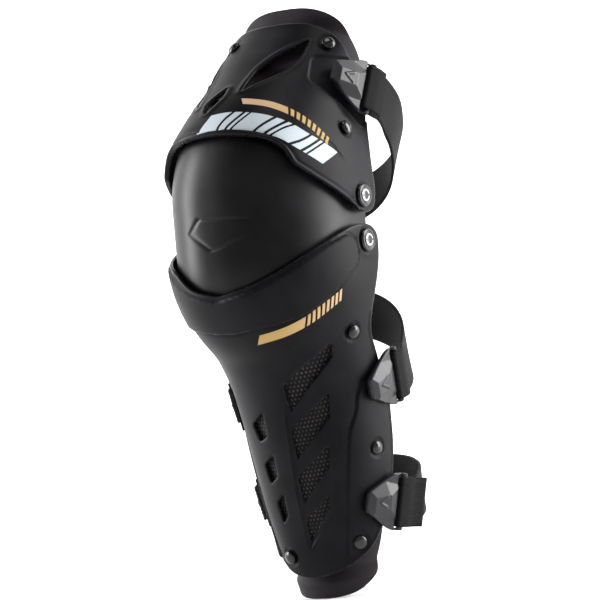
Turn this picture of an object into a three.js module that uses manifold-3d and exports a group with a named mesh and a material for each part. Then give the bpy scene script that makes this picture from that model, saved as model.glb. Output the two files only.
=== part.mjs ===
// Knee and shin guard for motocross: a thigh shell, a sliding knee cup and a
// long vented shin shell, joined by two pivots on each side of the knee, with
// padded liners, three elastic straps and three hook clips.
//
// Millimetres, +Z up.  The origin is the middle of the knee: on the symmetry
// plane, half-way between the upper and the lower pivot axes.  -Y is the front
// and +X the outer side, where the clips are.
import * as THREE from "three";
import { mergeVertices } from "three/addons/utils/BufferGeometryUtils.js";
import Module from "manifold-3d";

const wasm = await Module();
wasm.setup();

// ---------------------------------------------------------------- dimensions
const PIVOT_HALF = 18.5;      // each pivot axis above and below the middle
const THIGH_LEAN = 28;        // degrees the thigh part leans back
const SHIN_LEAN = 12;         // degrees the foot of the shin part leans back
const CUP_HALF_WIDTH = 76;    // knee cup, outer, at the pivots
const CUP_DEPTH = 105;        // knee cup, outer, in front of the pivots
const CUP_POWER = 2.3;        // roundness of the knee cup
const CUP_WALL = 3;
const CUP_UP = 46;            // degrees the cup reaches above the upper pivot
const CUP_DOWN = 50;          // and below the lower pivot
const SHELL_WALL = 3;
const SHELL_GAP = 2.5;        // thigh and shin shells over the cup
const BLEND = 6;              // rounding between knee bulge and limb section
const BAND_STEP = 2.4;        // raised band round the top of the shin shell
const PIVOT_PIN = 7.8;
const PIN_CLEAR = 0.8;        // a bore is this much wider than its pin
const BORE = PIVOT_PIN + PIN_CLEAR;
const EAR_GAP = 3.5;          // an ear's edge stops this far from the middle
const EAR = PIVOT_HALF - EAR_GAP;
const PIVOT_CAP = 19;
const PIVOT_CAP_HEIGHT = 4.2;
const RIVET_HEAD = 12;
const RIVET_DOME = 3.4;
const RIVET_PIN = 5;
const RIVET_HOLE = RIVET_PIN + PIN_CLEAR;
const ANCHOR_PIN = 5.8;
const ANCHOR_HOLE = ANCHOR_PIN + 1;
const LINER_GAP = 3.2;        // behind the shells
const LINER_PAD = 8.5;
const CUP_CLEAR = 2.5;        // soft parts beyond the cup's furthest reach
const FOAM_PAD = 3;
const KNEE_PAD = 9;
const STRAP_WIDTH = 43;
const STRAP_WEB = 2.2;
const CLIP_LENGTH = 42;
const CLIP_EDGE = 3;          // clip beyond the strap on each side
const CLIP_WIDTH = STRAP_WIDTH + 2 * CLIP_EDGE;
const CLIP_NOSE = 17;
const CLIP_PLATE = 4.6;
const CLIP_LIFT = 2.9;        // clip underside above the shell where it rests
const CLIP_CLEAR = 0.4;       // and above the crown of the shell under it
const SLOT = 4.6;             // strap slot in a clip
const SLOT_CLEAR = 0.8;
const BAR = 5;                // clip bar behind the slot
const KEEPER_SEAT = 0.9;      // keeper above the shell
const KEEPER_CLEAR = 0.4;     // and below the clip
const FOAM_GAP = 1.4;
const MESH_SIZE = 20;         // longest edge on the curved shells

// limb sections: height from the pivot axis, half width, depth in front
const THIGH_WIDTH = [[-30, 79], [0, 79], [50, 71], [100, 71], [150, 67], [175, 65]];
const THIGH_DEPTH = [[-30, 90], [0, 96], [20, 95], [60, 90], [90, 80], [120, 68], [140, 61], [175, 55]];
const SHIN_WIDTH = [[-290, 48], [-200, 58], [-120, 65], [-60, 72], [0, 78], [30, 78]];
const SHIN_DEPTH = [[-290, 60], [-273, 62], [-203, 67], [-160, 67], [-115, 69], [-80, 78], [-48, 90], [0, 97], [30, 92]];
const THIGH_POWER = 2.4;
const SHIN_POWER = 2.1;

// ----------------------------------------------------------------- materials
const look = (color, roughness, metalness = 0) =>
  new THREE.MeshStandardMaterial({ color, roughness, metalness });
const shellPlastic = look(0x1b1a1d, 0.42);
const cupPlastic = look(0x17161a, 0.34);
const glossBlack = look(0x0c0c0e, 0.12);
const clipPlastic = look(0x3a393d, 0.35);
const neoprene = look(0x1c181d, 0.85);
const foamBlack = look(0x151417, 0.9);
const webbing = look(0x161618, 0.8);
const nylon = look(0x202022, 0.5);

// --------------------------------------------------------------------- forms
const rad = (d) => (d * Math.PI) / 180;
const mix = (a, b, t) => a + (b - a) * t;

// smooth rise through hand-set stations, flat outside them
function along(table, h) {
  const n = table.length;
  if (h <= table[0][0]) return table[0][1];
  if (h >= table[n - 1][0]) return table[n - 1][1];
  const slope = (i) => (table[i + 1][1] - table[i][1]) / (table[i + 1][0] - table[i][0]);
  const tangent = (i) => {
    if (i === 0) return slope(0);
    if (i === n - 1) return slope(n - 2);
    const a = slope(i - 1), b = slope(i);
    return a * b <= 0 ? 0 : (2 * a * b) / (a + b);
  };
  let i = 0;
  while (h > table[i + 1][0]) i++;
  const w = table[i + 1][0] - table[i][0];
  const t = (h - table[i][0]) / w;
  return (
    (2 * t ** 3 - 3 * t ** 2 + 1) * table[i][1] +
    (t ** 3 - 2 * t ** 2 + t) * w * tangent(i) +
    (3 * t ** 2 - 2 * t ** 3) * table[i + 1][1] +
    (t ** 3 - t ** 2) * w * tangent(i + 1)
  );
}

// polar radius of a superellipse at an angle from the front
const section = (phi, width, depth, power) =>
  (Math.abs(Math.sin(phi) / width) ** power + Math.abs(Math.cos(phi) / depth) ** power) ** (-1 / power);

// polar radius of a rounded body of revolution about the pivot's own axis
function knuckle(phi, h, width, depth, power) {
  let low = 0, high = 300;
  for (let i = 0; i < 36; i++) {
    const r = (low + high) / 2;
    const f = Math.abs((r * Math.sin(phi)) / width) ** power +
      (((r * Math.cos(phi)) ** 2 + h * h) / depth ** 2) ** (power / 2);
    if (f < 1) low = r; else high = r;
  }
  return (low + high) / 2;
}

const larger = (a, b, e) => 0.5 * (a + b + Math.sqrt((a - b) ** 2 + e * e));
const over = SHELL_GAP + SHELL_WALL;
const limb = (widths, depths, power) => (phi, h) =>
  larger(
    knuckle(phi, h, CUP_HALF_WIDTH + over, CUP_DEPTH + over, CUP_POWER),
    section(phi, along(widths, h), along(depths, h), power), BLEND);
const thighRadius = limb(THIGH_WIDTH, THIGH_DEPTH, THIGH_POWER);
const shinRadius = limb(SHIN_WIDTH, SHIN_DEPTH, SHIN_POWER);
const cupRadius = (phi, z) =>
  knuckle(phi, Math.max(Math.abs(z) - PIVOT_HALF, 0), CUP_HALF_WIDTH, CUP_DEPTH, CUP_POWER);

// a point on a form: degrees from the front, height, distance out of the form
function surface(radius) {
  const at = (deg, h) => {
    const phi = rad(deg), r = radius(phi, h);
    return new THREE.Vector3(r * Math.sin(phi), -r * Math.cos(phi), h);
  };
  const normal = (deg, h) => {
    const du = at(deg + 0.5, h).sub(at(deg - 0.5, h));
    const dv = at(deg, h + 0.5).sub(at(deg, h - 0.5));
    return du.cross(dv).normalize();
  };
  const point = (deg, h, out = 0) => at(deg, h).addScaledVector(normal(deg, h), out);
  return { point, normal };
}
const thighForm = surface(thighRadius);
const shinForm = surface(shinRadius);
const cupForm = surface(cupRadius);

// ----------------------------------------------------------- building pieces
const PER_DEGREE = 1.3;       // flat-pattern millimetres for one degree

// closed outline through corners [degrees, height, rounding]
function outline(corners, step = MESH_SIZE * 0.8) {
  const pts = corners.map(([d, h]) => new THREE.Vector2(d * PER_DEGREE, h));
  const n = pts.length, out = [];
  for (let i = 0; i < n; i++) {
    const p = pts[i], a = pts[(i + n - 1) % n], b = pts[(i + 1) % n];
    const r = corners[i][2] ?? 0;
    const la = a.distanceTo(p), lb = b.distanceTo(p);
    if (r === 0) { out.push(p.clone()); continue; }
    const q0 = p.clone().lerp(a, Math.min(r / la, 0.48));
    const q1 = p.clone().lerp(b, Math.min(r / lb, 0.48));
    const steps = r > 8 ? 4 : r > 5 ? 2 : 1;
    out.push(...new THREE.QuadraticBezierCurve(q0, p, q1).getPoints(steps));
  }
  const full = [];
  for (let i = 0; i < out.length; i++) {
    const a = out[i], b = out[(i + 1) % out.length];
    const k = Math.max(1, Math.ceil(a.distanceTo(b) / step));
    for (let j = 0; j < k; j++) full.push(a.clone().lerp(b, j / k));
  }
  return full;
}
const mirrored = (corners) => corners.map(([d, h, r]) => [-d, h, r]).reverse();
// a symmetric outline from its right half, listed from the bottom to the top
const bothSides = (half) => [...half, ...mirrored(half)];
// a round hole, true to size once it lies on its form
function hole(form, deg, h, diameter, sides = 12) {
  const real = form.point(deg + 0.5, h).distanceTo(form.point(deg - 0.5, h));
  return Array.from({ length: sides }, (_, i) => {
    const a = (2 * Math.PI * i) / sides;
    return new THREE.Vector2((deg + (Math.cos(a) * diameter) / real / 2) * PER_DEGREE,
      h + (Math.sin(a) * diameter) / 2);
  });
}

// flat triangulation of an outline with holes, no edge longer than size
function triangulate(contour, holes, size) {
  if (THREE.ShapeUtils.isClockWise(contour)) contour.reverse();
  for (const c of holes) if (!THREE.ShapeUtils.isClockWise(c)) c.reverse();
  const verts = [contour, ...holes].flat();
  let tris = THREE.ShapeUtils.triangulateShape(contour, holes);
  const key = (a, b) => (a < b ? a * 65536 + b : b * 65536 + a);
  const flip = () => {
    for (let pass = 0; pass < 8; pass++) {
      const side = new Map();
      tris.forEach((t, i) => t.forEach((v, k) => {
        const e = key(v, t[(k + 1) % 3]);
        side.set(e, [...(side.get(e) ?? []), [i, (k + 2) % 3]]);
      }));
      const used = new Set();
      let count = 0;
      for (const pair of side.values()) {
        if (pair.length < 2) continue;
        const [[i, k], [j, l]] = pair;
        if (used.has(i) || used.has(j)) continue;
        const p = tris[i][k], q = tris[j][l];
        const a = tris[i][(k + 1) % 3], b = tris[i][(k + 2) % 3];
        const angle = (o, x, y) => {
          const u = verts[x].clone().sub(verts[o]), v = verts[y].clone().sub(verts[o]);
          return Math.abs(Math.atan2(u.cross(v), u.dot(v)));
        };
        if (angle(p, a, b) + angle(q, a, b) <= Math.PI + 1e-6) continue;
        const area = (x, y, z) => verts[y].clone().sub(verts[x]).cross(verts[z].clone().sub(verts[x]));
        if (area(p, a, q) <= 1e-6 || area(q, b, p) <= 1e-6) continue;
        tris[i] = [p, a, q];
        tris[j] = [q, b, p];
        used.add(i); used.add(j);
        count++;
      }
      if (!count) break;
    }
  };
  for (let pass = 0; pass < 24; pass++) {
    flip();
    const middle = new Map(), next = [];
    for (const t of tris) {
      const long = t.map((v, k) => verts[v].distanceTo(verts[t[(k + 1) % 3]]));
      const k = long.indexOf(Math.max(...long));
      const e = key(t[k], t[(k + 1) % 3]);
      if (long[k] <= size || middle.has(e)) continue;
      middle.set(e, verts.length);
      verts.push(verts[t[k]].clone().lerp(verts[t[(k + 1) % 3]], 0.5));
    }
    const mid = (a, b) => middle.get(key(a, b)) ?? -1;
    for (const [a, b, c] of tris) {
      const ab = mid(a, b), bc = mid(b, c), ca = mid(c, a);
      const cuts = [ab, bc, ca].filter((m) => m >= 0).length;
      if (cuts === 0) next.push([a, b, c]);
      else if (cuts === 3) next.push([a, ab, ca], [ab, b, bc], [bc, c, ca], [ab, bc, ca]);
      else {
        const turns = [[a, b, c, ab, bc, ca], [b, c, a, bc, ca, ab], [c, a, b, ca, ab, bc]];
        if (cuts === 1) {
          const [p, q, r, m] = turns.find((t) => t[3] >= 0);
          next.push([p, m, r], [m, q, r]);
        } else {
          const [p, q, r, m, n] = turns.find((t) => t[3] >= 0 && t[4] >= 0);
          next.push([m, q, n], [p, m, r], [m, n, r]);
        }
      }
    }
    const grew = next.length > tris.length;
    tris = next;
    if (!grew) break;
  }
  flip();
  return { verts, tris };
}

// geometry from points and triangles
function closed(points, index) {
  const g = new THREE.BufferGeometry();
  g.setAttribute("position", new THREE.Float32BufferAttribute(points.flatMap((p) => [p.x, p.y, p.z]), 3));
  g.setIndex(index);
  g.computeVertexNormals();
  return g;
}

// a sheet cut to an outline, laid on a form between two offsets
function moulded(form, corners, holes, inner, outer, size = MESH_SIZE) {
  const contour = Array.isArray(corners[0]) ? outline(corners, size * 0.8) : corners;
  const { verts, tris } = triangulate(contour, holes, size);
  const n = verts.length;
  const lay = (out) => verts.map((v) => form.point(v.x / PER_DEGREE, v.y, out));
  const points = [...lay(outer), ...lay(inner)];
  const index = [];
  const seen = new Set(tris.flatMap((t) => t.map((v, k) => v * 65536 + t[(k + 1) % 3])));
  for (const [a, b, c] of tris) index.push(a, b, c, a + n, c + n, b + n);
  for (const t of tris) t.forEach((a, k) => {
    const b = t[(k + 1) % 3];
    if (!seen.has(b * 65536 + a)) index.push(a, a + n, b, b, a + n, b + n);
  });
  return closed(points, index);
}

// a padded sheet on a grid: at(s, t, side) gives its points, s and t from 0 to 1
function padded(at, across, up) {
  const points = [], index = [], n = (across + 1) * (up + 1);
  for (const side of [1, 0])
    for (let j = 0; j <= up; j++)
      for (let i = 0; i <= across; i++) points.push(at(i / across, j / up, side));
  const id = (i, j, back) => j * (across + 1) + i + (back ? n : 0);
  const quad = (a, b, c, d) => index.push(a, b, c, a, c, d);
  for (let j = 0; j < up; j++)
    for (let i = 0; i < across; i++) {
      quad(id(i, j), id(i + 1, j), id(i + 1, j + 1), id(i, j + 1));
      quad(id(i, j, 1), id(i, j + 1, 1), id(i + 1, j + 1, 1), id(i + 1, j, 1));
    }
  for (let i = 0; i < across; i++) {
    quad(id(i + 1, 0), id(i, 0), id(i, 0, 1), id(i + 1, 0, 1));
    quad(id(i, up), id(i + 1, up), id(i + 1, up, 1), id(i, up, 1));
  }
  for (let j = 0; j < up; j++) {
    quad(id(0, j), id(0, j + 1), id(0, j + 1, 1), id(0, j, 1));
    quad(id(across, j + 1), id(across, j), id(across, j, 1), id(across, j + 1, 1));
  }
  return closed(points, index);
}

// solids for cutting and joining
function solid(geometry) {
  const g = geometry.clone();
  g.deleteAttribute("normal");
  if (g.attributes.uv) g.deleteAttribute("uv");
  const m = mergeVertices(g, 1e-4);
  return new wasm.Manifold(new wasm.Mesh({
    numProp: 3,
    vertProperties: new Float32Array(m.attributes.position.array),
    triVerts: new Uint32Array(m.index.array),
  }));
}
function fromSolid(s) {
  const mesh = s.getMesh();
  const g = new THREE.BufferGeometry();
  g.setAttribute("position", new THREE.BufferAttribute(new Float32Array(mesh.vertProperties), 3));
  g.setIndex(new THREE.BufferAttribute(new Uint32Array(mesh.triVerts), 1));
  g.computeVertexNormals();
  return g;
}

function turned(profile, sides) {
  return new THREE.LatheGeometry(profile.map(([r, z]) => new THREE.Vector2(r, z)), sides);
}

const object = new THREE.Group();
const thigh = new THREE.Group();
thigh.position.z = PIVOT_HALF;
thigh.rotation.x = rad(-THIGH_LEAN);
const knee = new THREE.Group();
const shin = new THREE.Group();
shin.position.z = -PIVOT_HALF;
shin.rotation.x = rad(SHIN_LEAN);
object.add(thigh, knee, shin);

function add(group, name, geometry, material) {
  const mesh = new THREE.Mesh(geometry, material);
  mesh.name = name;
  group.add(mesh);
  return mesh;
}
// how far a form rises above its tangent plane at a spot, within a rectangle
// there: X round the limb, Y up it, turned about the normal
function crown(form, deg, h, turn, [x0, x1], [y0, y1]) {
  const n = form.normal(deg, h), base = form.point(deg, h);
  const X = new THREE.Vector3(0, 0, 1).cross(n).normalize().applyAxisAngle(n, rad(turn));
  const Y = n.clone().cross(X);
  let top = 0;
  for (let d = deg - 40; d <= deg + 60; d += 2)
    for (let z = h - 44; z <= h + 44; z += 4) {
      const v = form.point(d, z).sub(base);
      const x = v.dot(X), y = v.dot(Y);
      if (x > x0 && x < x1 && y > y0 && y < y1) top = Math.max(top, v.dot(n));
    }
  return top;
}
// put a mesh on a form: its Z out of the form, its X round the limb
function seat(mesh, form, deg, h, out, turn = 0) {
  const n = form.normal(deg, h);
  const along = new THREE.Vector3(0, 0, 1);
  const round = along.clone().cross(n).normalize();
  const y = n.clone().cross(round);
  mesh.quaternion.setFromRotationMatrix(new THREE.Matrix4().makeBasis(round, y, n))
    .multiply(new THREE.Quaternion().setFromAxisAngle(new THREE.Vector3(0, 0, 1), rad(turn)));
  mesh.position.copy(form.point(deg, h, out));
}

// ------------------------------------------------------------------ knee cup
const reachUp = CUP_DEPTH * Math.sin(rad(CUP_UP));       // past each pivot with the leg straight
const reachDown = CUP_DEPTH * Math.sin(rad(CUP_DOWN));
const cupTop = PIVOT_HALF + reachUp;
const cupFoot = -PIVOT_HALF - reachDown;
const cupFree = reachUp + CUP_CLEAR;
const cupHalf = [
  [42, cupTop - 7, 22], [64, PIVOT_HALF + 48, 20], [84, PIVOT_HALF + 15, 8],
  [100, PIVOT_HALF + 12, 12], [100, -PIVOT_HALF - 12, 12],
  [84, -PIVOT_HALF - 15, 8], [66, -PIVOT_HALF - 52, 20], [42, cupFoot + 8, 22], [0, cupFoot, 8],
];
const cupOutline = [[0, cupTop, 8], ...cupHalf, ...mirrored(cupHalf.slice(0, -1))];
const pivotHoles = (form, h) => [hole(form, 90, h, BORE, 16), hole(form, -90, h, BORE, 16)];
add(knee, "knee_cup",
  moulded(cupForm, cupOutline, [...pivotHoles(cupForm, PIVOT_HALF), ...pivotHoles(cupForm, -PIVOT_HALF)], -CUP_WALL, 0),
  cupPlastic);

const padTop = (s) => 52 - 14 * (2 * s - 1) ** 2;
add(knee, "knee_pad", padded((s, t, side) => {
  const z = mix(-padTop(s), padTop(s), t);
  const d = mix(-56, 56, s);
  return cupForm.point(d, z, side ? -CUP_WALL - 2 : -CUP_WALL - 2 - KNEE_PAD);
}, 12, 8), foamBlack);

// --------------------------------------------------------------- thigh shell
// the lower edge arches over the cup, the ears run down to the upper pivots
const thighHalf = [
  [0, 9, 0], [28, 7, 6], [35, 2, 3], [41, 7 - EAR, 3], [56, 4 - EAR, 6], [78, 3 - EAR, 6], [92, -EAR, 9],
  [104, -4, 9], [102, 14, 8], [95, 34, 12], [91, 64, 8], [88, 84, 8], [77, 104, 8],
  [65, 113, 8], [56, 129, 16], [36, 140, 14],
];
const leafVent = [[7, 56, 0], [6.5, 68, 4], [8, 85, 6], [16, 101, 8], [34, 121, 2], [31.5, 98, 8],
  [25, 82, 6], [13, 66, 6]];
const innerVent = [[-37, 109, 2], [-28, 86, 6], [-16, 42, 2], [-27, 54, 6], [-42, 86, 6]];
const sideVent = [[-3.5, 61, 0], [-2, 49, 5], [-7, 31, 2], [-10, 45, 6]];
const ventCut = (c) => outline(c, 14);
const thighRivets = [[47, 121], [-31, 122], [68, 49], [-68, 49]];
const holesFor = (form, spots) => spots.map(([d, h]) => hole(form, d, h, RIVET_HOLE, 8));
const thighContour = outline(bothSides(thighHalf.slice(1)));
const anchorPin = (form, spot) => hole(form, spot[0], spot[1], ANCHOR_HOLE, 8);
const thighAnchor = [-60, 84];
add(thigh, "thigh_shell",
  moulded(thighForm, thighContour, [...pivotHoles(thighForm, 0), ...holesFor(thighForm, thighRivets),
    ventCut(leafVent), ventCut(innerVent), ventCut(sideVent), anchorPin(thighForm, thighAnchor)], -SHELL_WALL, 0),
  shellPlastic);

// padded liner behind it, its rim standing above the shell
// and its foot passing behind the sliding edge of the cup
const linerTop = (s) => 161 - 42 * Math.abs(2 * s - 1) ** 3.2;
const linerFoot = (s) => 46 + 16 * Math.abs(2 * s - 1) ** 2.5;
const smooth = (x) => { const t = Math.min(1, Math.max(0, x)); return t * t * (3 - 2 * t); };
add(thigh, "thigh_liner", padded((s, t, side) => {
  const d = mix(-86, 86, s), h = mix(linerFoot(s), linerTop(s), t);
  const free = smooth((h - cupFree) / 18);
  const bulge = t > 0.95 || t < 0.05 ? 1 : 0;
  const gap = SHELL_WALL + LINER_GAP + bulge;
  const above = thighForm.point(d, h, -gap);
  const inside = knuckle(rad(d), Math.min(h, cupFree), CUP_HALF_WIDTH - CUP_WALL - 3, CUP_DEPTH - CUP_WALL - 3, CUP_POWER);
  const r = Math.min(Math.hypot(above.x, above.y), mix(inside, Math.hypot(above.x, above.y), free));
  const back = r - (side ? 0 : mix(4.5, LINER_PAD, free) - 2 * bulge);
  return new THREE.Vector3(back * Math.sin(rad(d)), -back * Math.cos(rad(d)), above.z);
}, 20, 10), neoprene);

// ---------------------------------------------------------------- shin shell
const shinHalf = [
  [20, -8, 8], [40, 4, 10], [60, EAR - 3, 8], [78, EAR + 1, 6], [92, EAR, 9],
  [104, 4, 9], [101, -18, 10], [92, -50, 14], [86, -74, 12], [94, -102, 10], [103, -138, 12],
  [100, -176, 12], [92, -206, 14], [78, -232, 14], [58, -256, 16], [24, -271, 12],
];
// the inner side is cut steeper at the top and shorter at the foot
const shinInner = [
  [12, -9, 6], [26, 8, 8], [42, EAR - 3, 8], ...shinHalf.slice(3, 13), [76, -222, 14], [50, -246, 16], [20, -269, 12],
];
const shinContour = outline([[1, -15, 3], ...shinHalf, [0, -273, 6], ...mirrored(shinInner)]);
const shinVents = [
  [[52, -74, 3], [52, -86, 3], [15, -127, 3], [15, -103, 4]],
  [[45, -116, 3], [43, -136, 3], [12, -168, 3], [12, -142, 4]],
  [[38, -160, 3], [35, -178, 3], [9.5, -207, 3], [9.5, -182, 4]],
  [[30, -202, 3], [28, -214, 3], [8, -242, 2], [8, -221, 4]],
];
const shinRivets = [[69, -71], [-69, -71], [77, -175], [-77, -175], [46, -249], [-15, -254]];
const calfAnchor = [-66, -126];
const ankleAnchor = [-58, -212];
const shinBody = moulded(shinForm, shinContour, [...pivotHoles(shinForm, 0), ...holesFor(shinForm, shinRivets),
  ...shinVents.flatMap((v) => [ventCut(v), ventCut(mirrored(v))]),
  anchorPin(shinForm, calfAnchor), anchorPin(shinForm, ankleAnchor)], -SHELL_WALL, 0);
// the raised band ends in a step that dips to a point at the front
const bandHalf = [
  [20, -12, 6], [40, 0, 8], [58, EAR - 7, 6], [74, EAR - 4, 6], [80, 2, 8], [77, -16, 4], [64, -25, 8],
  [53, -34, 8], [38, -43, 8], [20, -45, 4],
];
const bandInner = [[12, -13, 4], [28, 1, 6], [42, EAR - 7, 6], ...bandHalf.slice(3)];
const band = moulded(shinForm, outline([[1, -19, 3], ...bandHalf, [0, -48, 4], ...mirrored(bandInner)]),
  [], -SHELL_WALL / 2, BAND_STEP);
add(shin, "shin_shell", fromSolid(solid(shinBody).add(solid(band))), shellPlastic);

// perforated foam seen through the vents, and the padded liner
add(shin, "shin_foam", padded((s, t, side) => {
  const d = mix(-60, 60, s) * mix(0.6, 1, t);
  const h = mix(-246, -reachDown - CUP_CLEAR - 1.1 + 16 * Math.abs(2 * s - 1) ** 2.5, t);
  return shinForm.point(d, h, side ? -SHELL_WALL - FOAM_GAP : -SHELL_WALL - FOAM_GAP - FOAM_PAD);
}, 12, 14), foamBlack);
const shinLinerTop = (s) => -reachDown - 11.6 - 6 * Math.cos(Math.PI * (2 * s - 1)) + 30 * Math.abs(2 * s - 1) ** 8;
const shinLinerFoot = (s) => -294 + 44 * Math.abs(2 * s - 1) ** 3.6;
add(shin, "shin_liner", padded((s, t, side) => {
  const half = mix(84, 106, Math.min(1, Math.sin(Math.PI * Math.min(1, t * 0.62 + 0.05)) ** 0.7));
  const d = mix(-half, half, s), h = mix(shinLinerFoot(s), shinLinerTop(s), t);
  const front = -SHELL_WALL - FOAM_GAP - FOAM_PAD - 1.2;
  return shinForm.point(d, h, side ? front : front - LINER_PAD);
}, 22, 13), neoprene);

// -------------------------------------------------------------------- rivets
const rivetHead = RIVET_HEAD / 2, rivetPin = RIVET_PIN / 2;
const rivetProfile = [
  [0, -SHELL_WALL - 2.6], [rivetPin + 1.7, -SHELL_WALL - 2.6], [rivetPin + 1.7, -SHELL_WALL - 1.6], [rivetPin, -SHELL_WALL - 1.6],
  [rivetPin, 0.5], [rivetHead, 0.5], [rivetHead, 1.2], [rivetHead * 0.86, 2.5], [rivetHead * 0.5, 3.5],
  [0, RIVET_DOME + 0.5],
];
function rivet(group, form, name, deg, h) {
  const g = turned(rivetProfile, 10).rotateX(Math.PI / 2);
  const mesh = add(group, name, fromSolid(solid(g)), glossBlack);
  seat(mesh, form, deg, h, 0);
}
["top_outer", "top_inner", "side_outer", "side_inner"].forEach((place, i) =>
  rivet(thigh, thighForm, `thigh_rivet_${place}`, ...thighRivets[i]));
["knee_outer", "knee_inner", "calf_outer", "calf_inner", "ankle_outer", "ankle_inner"].forEach((place, i) =>
  rivet(shin, shinForm, `shin_rivet_${place}`, ...shinRivets[i]));

// -------------------------------------------------------------------- pivots
function pivot(name, side, z, form) {
  const ear = form.point(90, 0, 0).x;          // outer face of the ear
  const pin = PIVOT_PIN / 2, cap = PIVOT_CAP / 2;
  const cupIn = CUP_HALF_WIDTH - CUP_WALL;
  const profile = [
    [0, cupIn - 2.6], [pin + 4.1, cupIn - 2.6], [pin + 4.1, cupIn - 0.6], [pin, cupIn - 0.6], [pin, ear + 0.4],
    [cap, ear + 0.4], [cap, ear + 1.8], [cap * 0.9, ear + 3], [cap * 0.66, ear + 3.8], [0, ear + PIVOT_CAP_HEIGHT],
  ];
  const g = turned(profile, 16).rotateZ(-Math.PI / 2);
  if (side < 0) g.rotateZ(Math.PI);
  add(knee, `pivot_${name}`, fromSolid(solid(g)), glossBlack).position.z = z;
  const bore = BORE / 2 + 0.1, rim = bore + 4.1;
  // the ear's inner face, where it comes nearest the washer's rim
  const round = rim / (rad(1) * ear);
  const near = Math.min(...[[90, rim], [90, -rim], [90 + round, 0], [90 - round, 0], [90, 0]]
    .map(([d, h]) => form.point(d, h, -SHELL_WALL).x));
  const a = CUP_HALF_WIDTH + 0.4, b = near - 0.3;
  const w = turned([[bore, a], [rim, a], [rim, b], [bore, b], [bore, a]], 16).rotateZ(-Math.PI / 2);
  if (side < 0) w.rotateZ(Math.PI);
  add(knee, `washer_${name}`, fromSolid(solid(w)), nylon).position.z = z;
}
pivot("upper_outer", 1, PIVOT_HALF, thighForm);
pivot("upper_inner", -1, PIVOT_HALF, thighForm);
pivot("lower_outer", 1, -PIVOT_HALF, shinForm);
pivot("lower_inner", -1, -PIVOT_HALF, shinForm);

// ---------------------------------------------------- clips, keepers, straps
// clip outline, X towards the strap; the nose hooks over its keeper
function clipGeometry() {
  const s = new THREE.Shape();
  const n = CLIP_NOSE / 2, w = CLIP_WIDTH / 2, l = CLIP_LENGTH;
  s.moveTo(0, -n);
  s.quadraticCurveTo(l * 0.45, -w * 0.86, l - 10, -w);
  s.lineTo(l, -w + 1);
  s.lineTo(l, w - 1);
  s.lineTo(l - 10, w);
  s.quadraticCurveTo(l * 0.45, w * 0.86, 0, n);
  s.closePath();
  const slot = new THREE.Path();
  const a = l - BAR - SLOT, b = l - BAR, c = STRAP_WIDTH / 2 + SLOT_CLEAR;
  slot.moveTo(a, -c); slot.lineTo(a, c); slot.lineTo(b, c); slot.lineTo(b, -c); slot.closePath();
  s.holes.push(slot);
  const g = new THREE.ExtrudeGeometry(s, {
    depth: CLIP_PLATE - 1.6, bevelEnabled: true, bevelThickness: 0.8, bevelSize: 0.8, bevelOffset: -0.8,
    bevelSegments: 1, curveSegments: 5, steps: 1,
  });
  g.translate(0, 0, 0.8);
  const lip = new THREE.BoxGeometry(1.6, CLIP_NOSE - 5, 3).translate(1.9, 0, 0.1);
  // raised panel in the middle of the face
  const face = new THREE.Shape();
  face.moveTo(6, -5); face.lineTo(l - 14, -w * 0.66); face.lineTo(l - 14, w * 0.66); face.lineTo(6, 5);
  face.closePath();
  const panel = new THREE.ExtrudeGeometry(face, { depth: 2, bevelEnabled: true, bevelThickness: 0.7,
    bevelSize: 1.6, bevelOffset: -1.6, bevelSegments: 1, steps: 1 }).translate(0, 0, CLIP_PLATE - 1.6);
  return fromSolid(solid(g).add(solid(lip)).add(solid(panel)));
}
// the end of a strap: under the bar, up through the slot and back over it
function strapEndGeometry() {
  const t = 1.5, l = CLIP_LENGTH, a = l - BAR - SLOT + (SLOT - t) / 2;
  const low = -0.6 - t, high = CLIP_PLATE + 0.7;
  const s = new THREE.Shape();
  s.moveTo(l + 12, low); s.lineTo(a, low); s.lineTo(a, high + t); s.lineTo(l + 10, high + t);
  s.lineTo(l + 10, high); s.lineTo(a + t, high); s.lineTo(a + t, low + t); s.lineTo(l + 12, low + t);
  s.closePath();
  return new THREE.ExtrudeGeometry(s, { depth: STRAP_WIDTH, bevelEnabled: false })
    .translate(0, 0, -STRAP_WIDTH / 2).rotateX(Math.PI / 2);
}
// keeper: a low post on the shell behind the clip's lip
function keeperGeometry(lift) {
  const s = new THREE.Shape();
  s.moveTo(3.6, -5); s.lineTo(12, -6.5); s.lineTo(12, 6.5); s.lineTo(3.6, 5); s.closePath();
  return new THREE.ExtrudeGeometry(s, { depth: lift - KEEPER_SEAT - KEEPER_CLEAR, bevelEnabled: false });
}
const strapRise = (f) => Math.sin(Math.PI * f) ** 1.4;

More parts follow.
